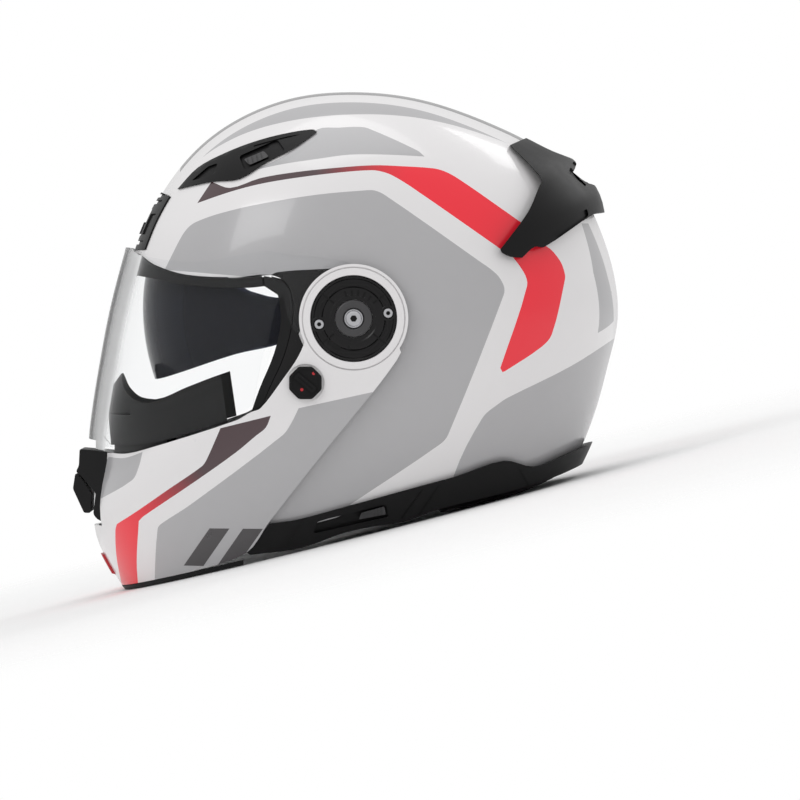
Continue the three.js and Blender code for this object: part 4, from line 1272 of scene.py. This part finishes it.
def make_pads():
    outer = dome(FOAM_INNER_HALF - FIT, "shell", 34 + FIT)

    crown = cut(twin(outer), dome(CROWN_HALF, "shell", 44))
    meet(crown, across(curved(CROWN)))
    puffed(crown, 4.5, 1.2, 2.4)
    kept_inside(crown, FOAM_INNER_HALF - FIT, "shell", 34 + FIT)
    points = points_of(crown)
    across_seams = np.minimum(np.abs(np.abs(points[:, 1]) - 14), np.abs(np.abs(points[:, 1]) - 52))
    angle = np.degrees(np.arctan2(points[:, 2], points[:, 0]))
    cross_seams = np.min([np.abs(angle - a) * 1.7 for a in (0, 50, 95, 130)], axis=0)
    sewn(crown, np.minimum(across_seams, cross_seams), 2.2, 2.4)
    finish_pad(crown, "crown_cushion", BRUSHED, "crown_pad")

    cheek = cut(twin(outer), dome(72, "shell", 40))
    meet(cheek, across(curved(CHEEK), -140, -40))
    puffed(cheek, 4.0, 1.6, 3.6)
    kept_inside(cheek, FOAM_INNER_HALF - FIT, "shell", 34 + FIT)
    points = points_of(cheek)
    panel = shrunk(CHEEK, -6, -48, 0.62)
    seam = to_lines(points[:, 0], points[:, 2], [*panel, panel[0]])
    seam = np.minimum(seam, to_lines(points[:, 0], points[:, 2], [(-30, -52), (24, -46)]))
    sewn(cheek, seam, 2.0, 2.0)
    other = mirrored(cheek)
    finish_pad(cheek, "cheek_cushion_l", KNIT, "cheek_pad_left")
    finish_pad(other, "cheek_cushion_r", KNIT, "cheek_pad_right")
    bpy.data.objects.remove(outer)

    neck_line = [(46, -111), (52, floor_at(52)), (86, floor_at(86)), (120, -97), (150, -84), (150, -62),
                 (110, -76), (90, -80), (48, -92)]
    neck = meet(layer("shell", FOAM_HALF - 3, 7, FOAM_HALF - 26, 30), across(neck_line))
    meet(neck, above_floor(0.2))
    puffed(neck, 4.0, 1.2, 2.6)
    points = points_of(neck)
    low = floor_at(points[:, 0]) + 0.1
    points[:, 2] = np.maximum(points[:, 2], low)
    move_points(neck, points)
    share = on_dome(points, FOAM_HALF - 14, "shell", 18)
    seam = np.abs(share - 1) * 40
    turn = np.degrees(np.arctan2(points[:, 1], points[:, 0] + 20))
    folds = np.min([np.abs(turn - a) * 1.6 for a in (-60, -30, 0, 30, 60)], axis=0)
    sewn(neck, np.minimum(seam, folds), 1.6, 2.0)
    finish_pad(neck, "neck_cushion", KNIT, "neck_roll")


# ---- Straps, buckle and cable --------------------------------------------------------------
def swept(path, section, name):
    """Closed section of (across, out) carried along a path of (y, z), across lying along X."""
    count = len(path)
    vertices, faces = [], []
    size = len(section)
    for i in range(count):
        before, after = Vector(path[max(0, i - 1)]), Vector(path[min(count - 1, i + 1)])
        along = (after - before).normalized()
        out = Vector((-along.y, along.x))
        for a, o in section:
            vertices.append((STRAP_X + a, path[i][0] + out.x * o, path[i][1] + out.y * o))
    for i in range(count - 1):
        for k in range(size):
            n = (k + 1) % size
            faces.append((i * size + k, i * size + n, (i + 1) * size + n, (i + 1) * size + k))
    faces.append(tuple(range(size)))
    faces.append(tuple(range(count * size - 1, (count - 1) * size - 1, -1)))
    piece = make_object(name, vertices, faces)
    tidy(piece)
    return piece


def make_straps():
    path = curved(STRAP_PATH, 8, 80, closed=False)
    w, t = STRAP_WIDTH / 2, 1.0
    lines = []
    steps = 22
    for k in range(steps + 1):
        a = -w + 0.5 + (2 * w - 1) * k / steps
        lines.append((a, t - 0.16 * (k % 2)))
    ring = [*lines, (w, 0.45), (w, -0.45), *[(a, -o) for a, o in reversed(lines)], (-w, -0.45), (-w, 0.45)]
    strap = swept(path, ring, "strap")
    cut(strap, bar(3.9, -105, -90, STRAP_X, RIVET_Z, 32))
    place_pair(strap, "chin_webbing", WEBBING, "shell", "chin_strap", 25)

    # Two rows of stitches, standing on the outer face of each strap.
    mesh = bmesh.new()
    for row in (-w + 2.2, w - 2.2):
        for i in range(9, len(path) - 3, 2):
            a, b = Vector(path[i]), Vector(path[i + 1])
            along = (b - a).normalized()
            out = Vector((-along.y, along.x))
            for sign in (-1, 1):
                centre = (a + b) / 2 + out * sign * 1.05
                made = bmesh.ops.create_icosphere(mesh, subdivisions=2, radius=1)
                slant = Matrix.Rotation(math.atan2(along.y, along.x), 4, "X")
                size = Matrix.Diagonal((0.32, 1.05, 0.22, 1))
                bmesh.ops.transform(mesh, verts=made["verts"], matrix=Matrix.Translation(
                    (STRAP_X + row, centre.x, centre.y)) @ slant @ size)
    data = bpy.data.meshes.new("stitches")
    mesh.to_mesh(data)
    mesh.free()
    stitches = bpy.data.objects.new("stitches", data)
    bpy.context.scene.collection.objects.link(stitches)
    other = mirrored(stitches)
    place(stitches, "chin_webbing_stitches_l", THREAD, "shell", [])
    place(other, "chin_webbing_stitches_r", THREAD, "shell", [])

    rivet = turned([(0, -95.6), (3.5, -95.6), (3.5, -106.4), (3.1, -107.1), (2.3, -107.5), (1.6, -107.1),
                    (0, -106.9)], STRAP_X, RIVET_Z, 48)
    place_pair(rivet, "strap_rivet_head", STEEL, "shell", "strap_rivet", 28)

    base = block(26, 3, 30, STRAP_X, -53.8, -78, 0, 2.5)
    for part in (block(26, 6, 3, STRAP_X, -51, -64.5, 0, 1), block(3, 6, 30, STRAP_X - 13, -51, -78, 0, 1),
                 block(3, 6, 30, STRAP_X + 13, -51, -78, 0, 1)):
        join(base, part)
    cut(base, block(15, 20, 4, STRAP_X, -53, -69, 0, 1.5))
    place(base, "buckle_frame", STEEL, "shell", ["buckle_body"], 28)
    lever = block(22, 2.4, 25, STRAP_X, -49.6, -80, 0, 3)
    for step in range(5):
        cut(lever, block(15, 1, 1.1, STRAP_X, -48.6, -90 + step * 2.4, 0, 0.3))
    place(lever, "buckle_flap", BUTTON_RED, "buckle_lever", ["buckle_lever"], 28)
    tongue = block(18, 2.6, 34, STRAP_X, 54.2, -75, 0, 4)
    for step in range(9):
        cut(tongue, block(9, 1, 1.2, STRAP_X, 52.9, -86 + step * 2.4, 0.0, 0.2))
    cut(tongue, block(12, 10, 3, STRAP_X, 54, -62, 0, 1.2))
    place(tongue, "buckle_ladder", SWITCH, "shell", ["buckle_tongue"], 28)


def make_cable():
    stops = [(2, -94), (-2, -84), (-4, -62), (-2, -40), (2, -22), (3, -14)]
    half, inset = SHELL_HALF - SHELL_WALL, SHELL_WALL
    path = [(x, -width_at(half, "shell", inset, x, z) + 2.8, z)
            for x, z in curved(stops, 8, 80, closed=False)]
    cable = piping(path, 1.0, "sun_visor_wire")
    place(cable, "sun_visor_wire", RUBBER, "shell", ["sun_visor_cable"], 60)


# ---- Stage ---------------------------------------------------------------------------------
VIEW_CENTRE = WORN @ Vector((27.4, 0, -50.3))
VIEW_WIDTH = 0.488
VIEW_DISTANCE = 4.0
SENSOR = 36.0


def make_stage():
    camera = bpy.data.objects.new("camera", bpy.data.cameras.new("camera"))
    bpy.context.scene.collection.objects.link(camera)
    bpy.context.scene.camera = camera
    rise = math.radians(1.0)
    up = Vector((math.sin(LEAN), 0, math.cos(LEAN)))
    back = (Vector((0, -1, 0)) * math.cos(rise) + up * math.sin(rise)).normalized()
    right = up.cross(back).normalized()
    turn = Matrix((right, back.cross(right), back)).transposed()
    camera.matrix_world = Matrix.Translation(VIEW_CENTRE + back * VIEW_DISTANCE) @ turn.to_4x4()
    camera.data.sensor_width = SENSOR
    camera.data.lens = SENSOR * VIEW_DISTANCE / VIEW_WIDTH
    camera.data.clip_end = 60

    bpy.ops.mesh.primitive_circle_add(vertices=96, radius=12, fill_type="NGON", location=(0, 0, -0.0005))
    floor = bpy.context.object
    floor.name = "floor"
    made, nodes, links = node_material("pale_floor")
    shader = nodes["Principled BSDF"]
    shader.inputs["Base Color"].default_value = (0.9, 0.9, 0.9, 1)
    shader.inputs["Roughness"].default_value = 0.85
    shader.inputs["Specular IOR Level"].default_value = 0.1
    place_of = new_node(nodes, "TexCoord")
    length = new_node(nodes, "VectorMath")
    length.operation = "LENGTH"
    links.new(place_of.outputs["Object"], length.inputs[0])
    fade = new_node(nodes, "MapRange", From_Min=0.25, From_Max=0.9)
    fade.interpolation_type = "SMOOTHSTEP"
    links.new(length.outputs["Value"], fade.inputs["Value"])
    clear = new_node(nodes, "BsdfTransparent")
    mix = new_node(nodes, "MixShader")
    links.new(fade.outputs["Result"], mix.inputs["Fac"])
    links.new(shader.outputs["BSDF"], mix.inputs[1])
    links.new(clear.outputs["BSDF"], mix.inputs[2])
    links.new(mix.outputs["Shader"], nodes["Material Output"].inputs["Surface"])
    floor.data.materials.append(made)

    world = bpy.data.worlds.new("studio")
    bpy.context.scene.world = world
    world.use_nodes = True
    nodes, links = world.node_tree.nodes, world.node_tree.links
    nodes["Background"].inputs["Color"].default_value = (1, 1, 1, 1)
    seen = new_node(nodes, "LightPath")
    level = new_node(nodes, "MapRange", To_Min=WORLD_LIGHT, To_Max=1.0)
    links.new(seen.outputs["Is Camera Ray"], level.inputs["Value"])
    links.new(level.outputs["Result"], nodes["Background"].inputs["Strength"])
    for name, at, size, power in LAMPS:
        lamp = bpy.data.lights.new(name, "AREA")
        lamp.shape = "RECTANGLE"
        lamp.size, lamp.size_y = size
        lamp.energy = power
        holder = bpy.data.objects.new(name, lamp)
        bpy.context.scene.collection.objects.link(holder)
        holder.location = at
        holder.rotation_mode = "QUATERNION"
        holder.rotation_quaternion = (VIEW_CENTRE - Vector(at)).to_track_quat("-Z", "Y")
    bpy.context.scene.view_settings.view_transform = "Standard"
    bpy.context.scene.cycles.transparent_max_bounces = 24


WORLD_LIGHT = 0.72
LAMPS = [
    ("key", (-1.2, -1.6, 2.2), (1.4, 1.0), 14),
    ("top", (0.3, 0.2, 2.4), (1.6, 1.6), 10),
    ("rim", (1.6, 1.2, 1.2), (0.8, 1.4), 8),
]

make_shell()
make_vents()
make_spoiler()
make_trim()
make_pivots()
make_chin_bar()
make_chin_vent()
make_visors()
make_lever()
make_latches()
make_foam()
make_pads()
make_straps()
make_cable()
make_stage()

bpy.context.view_layer.update()
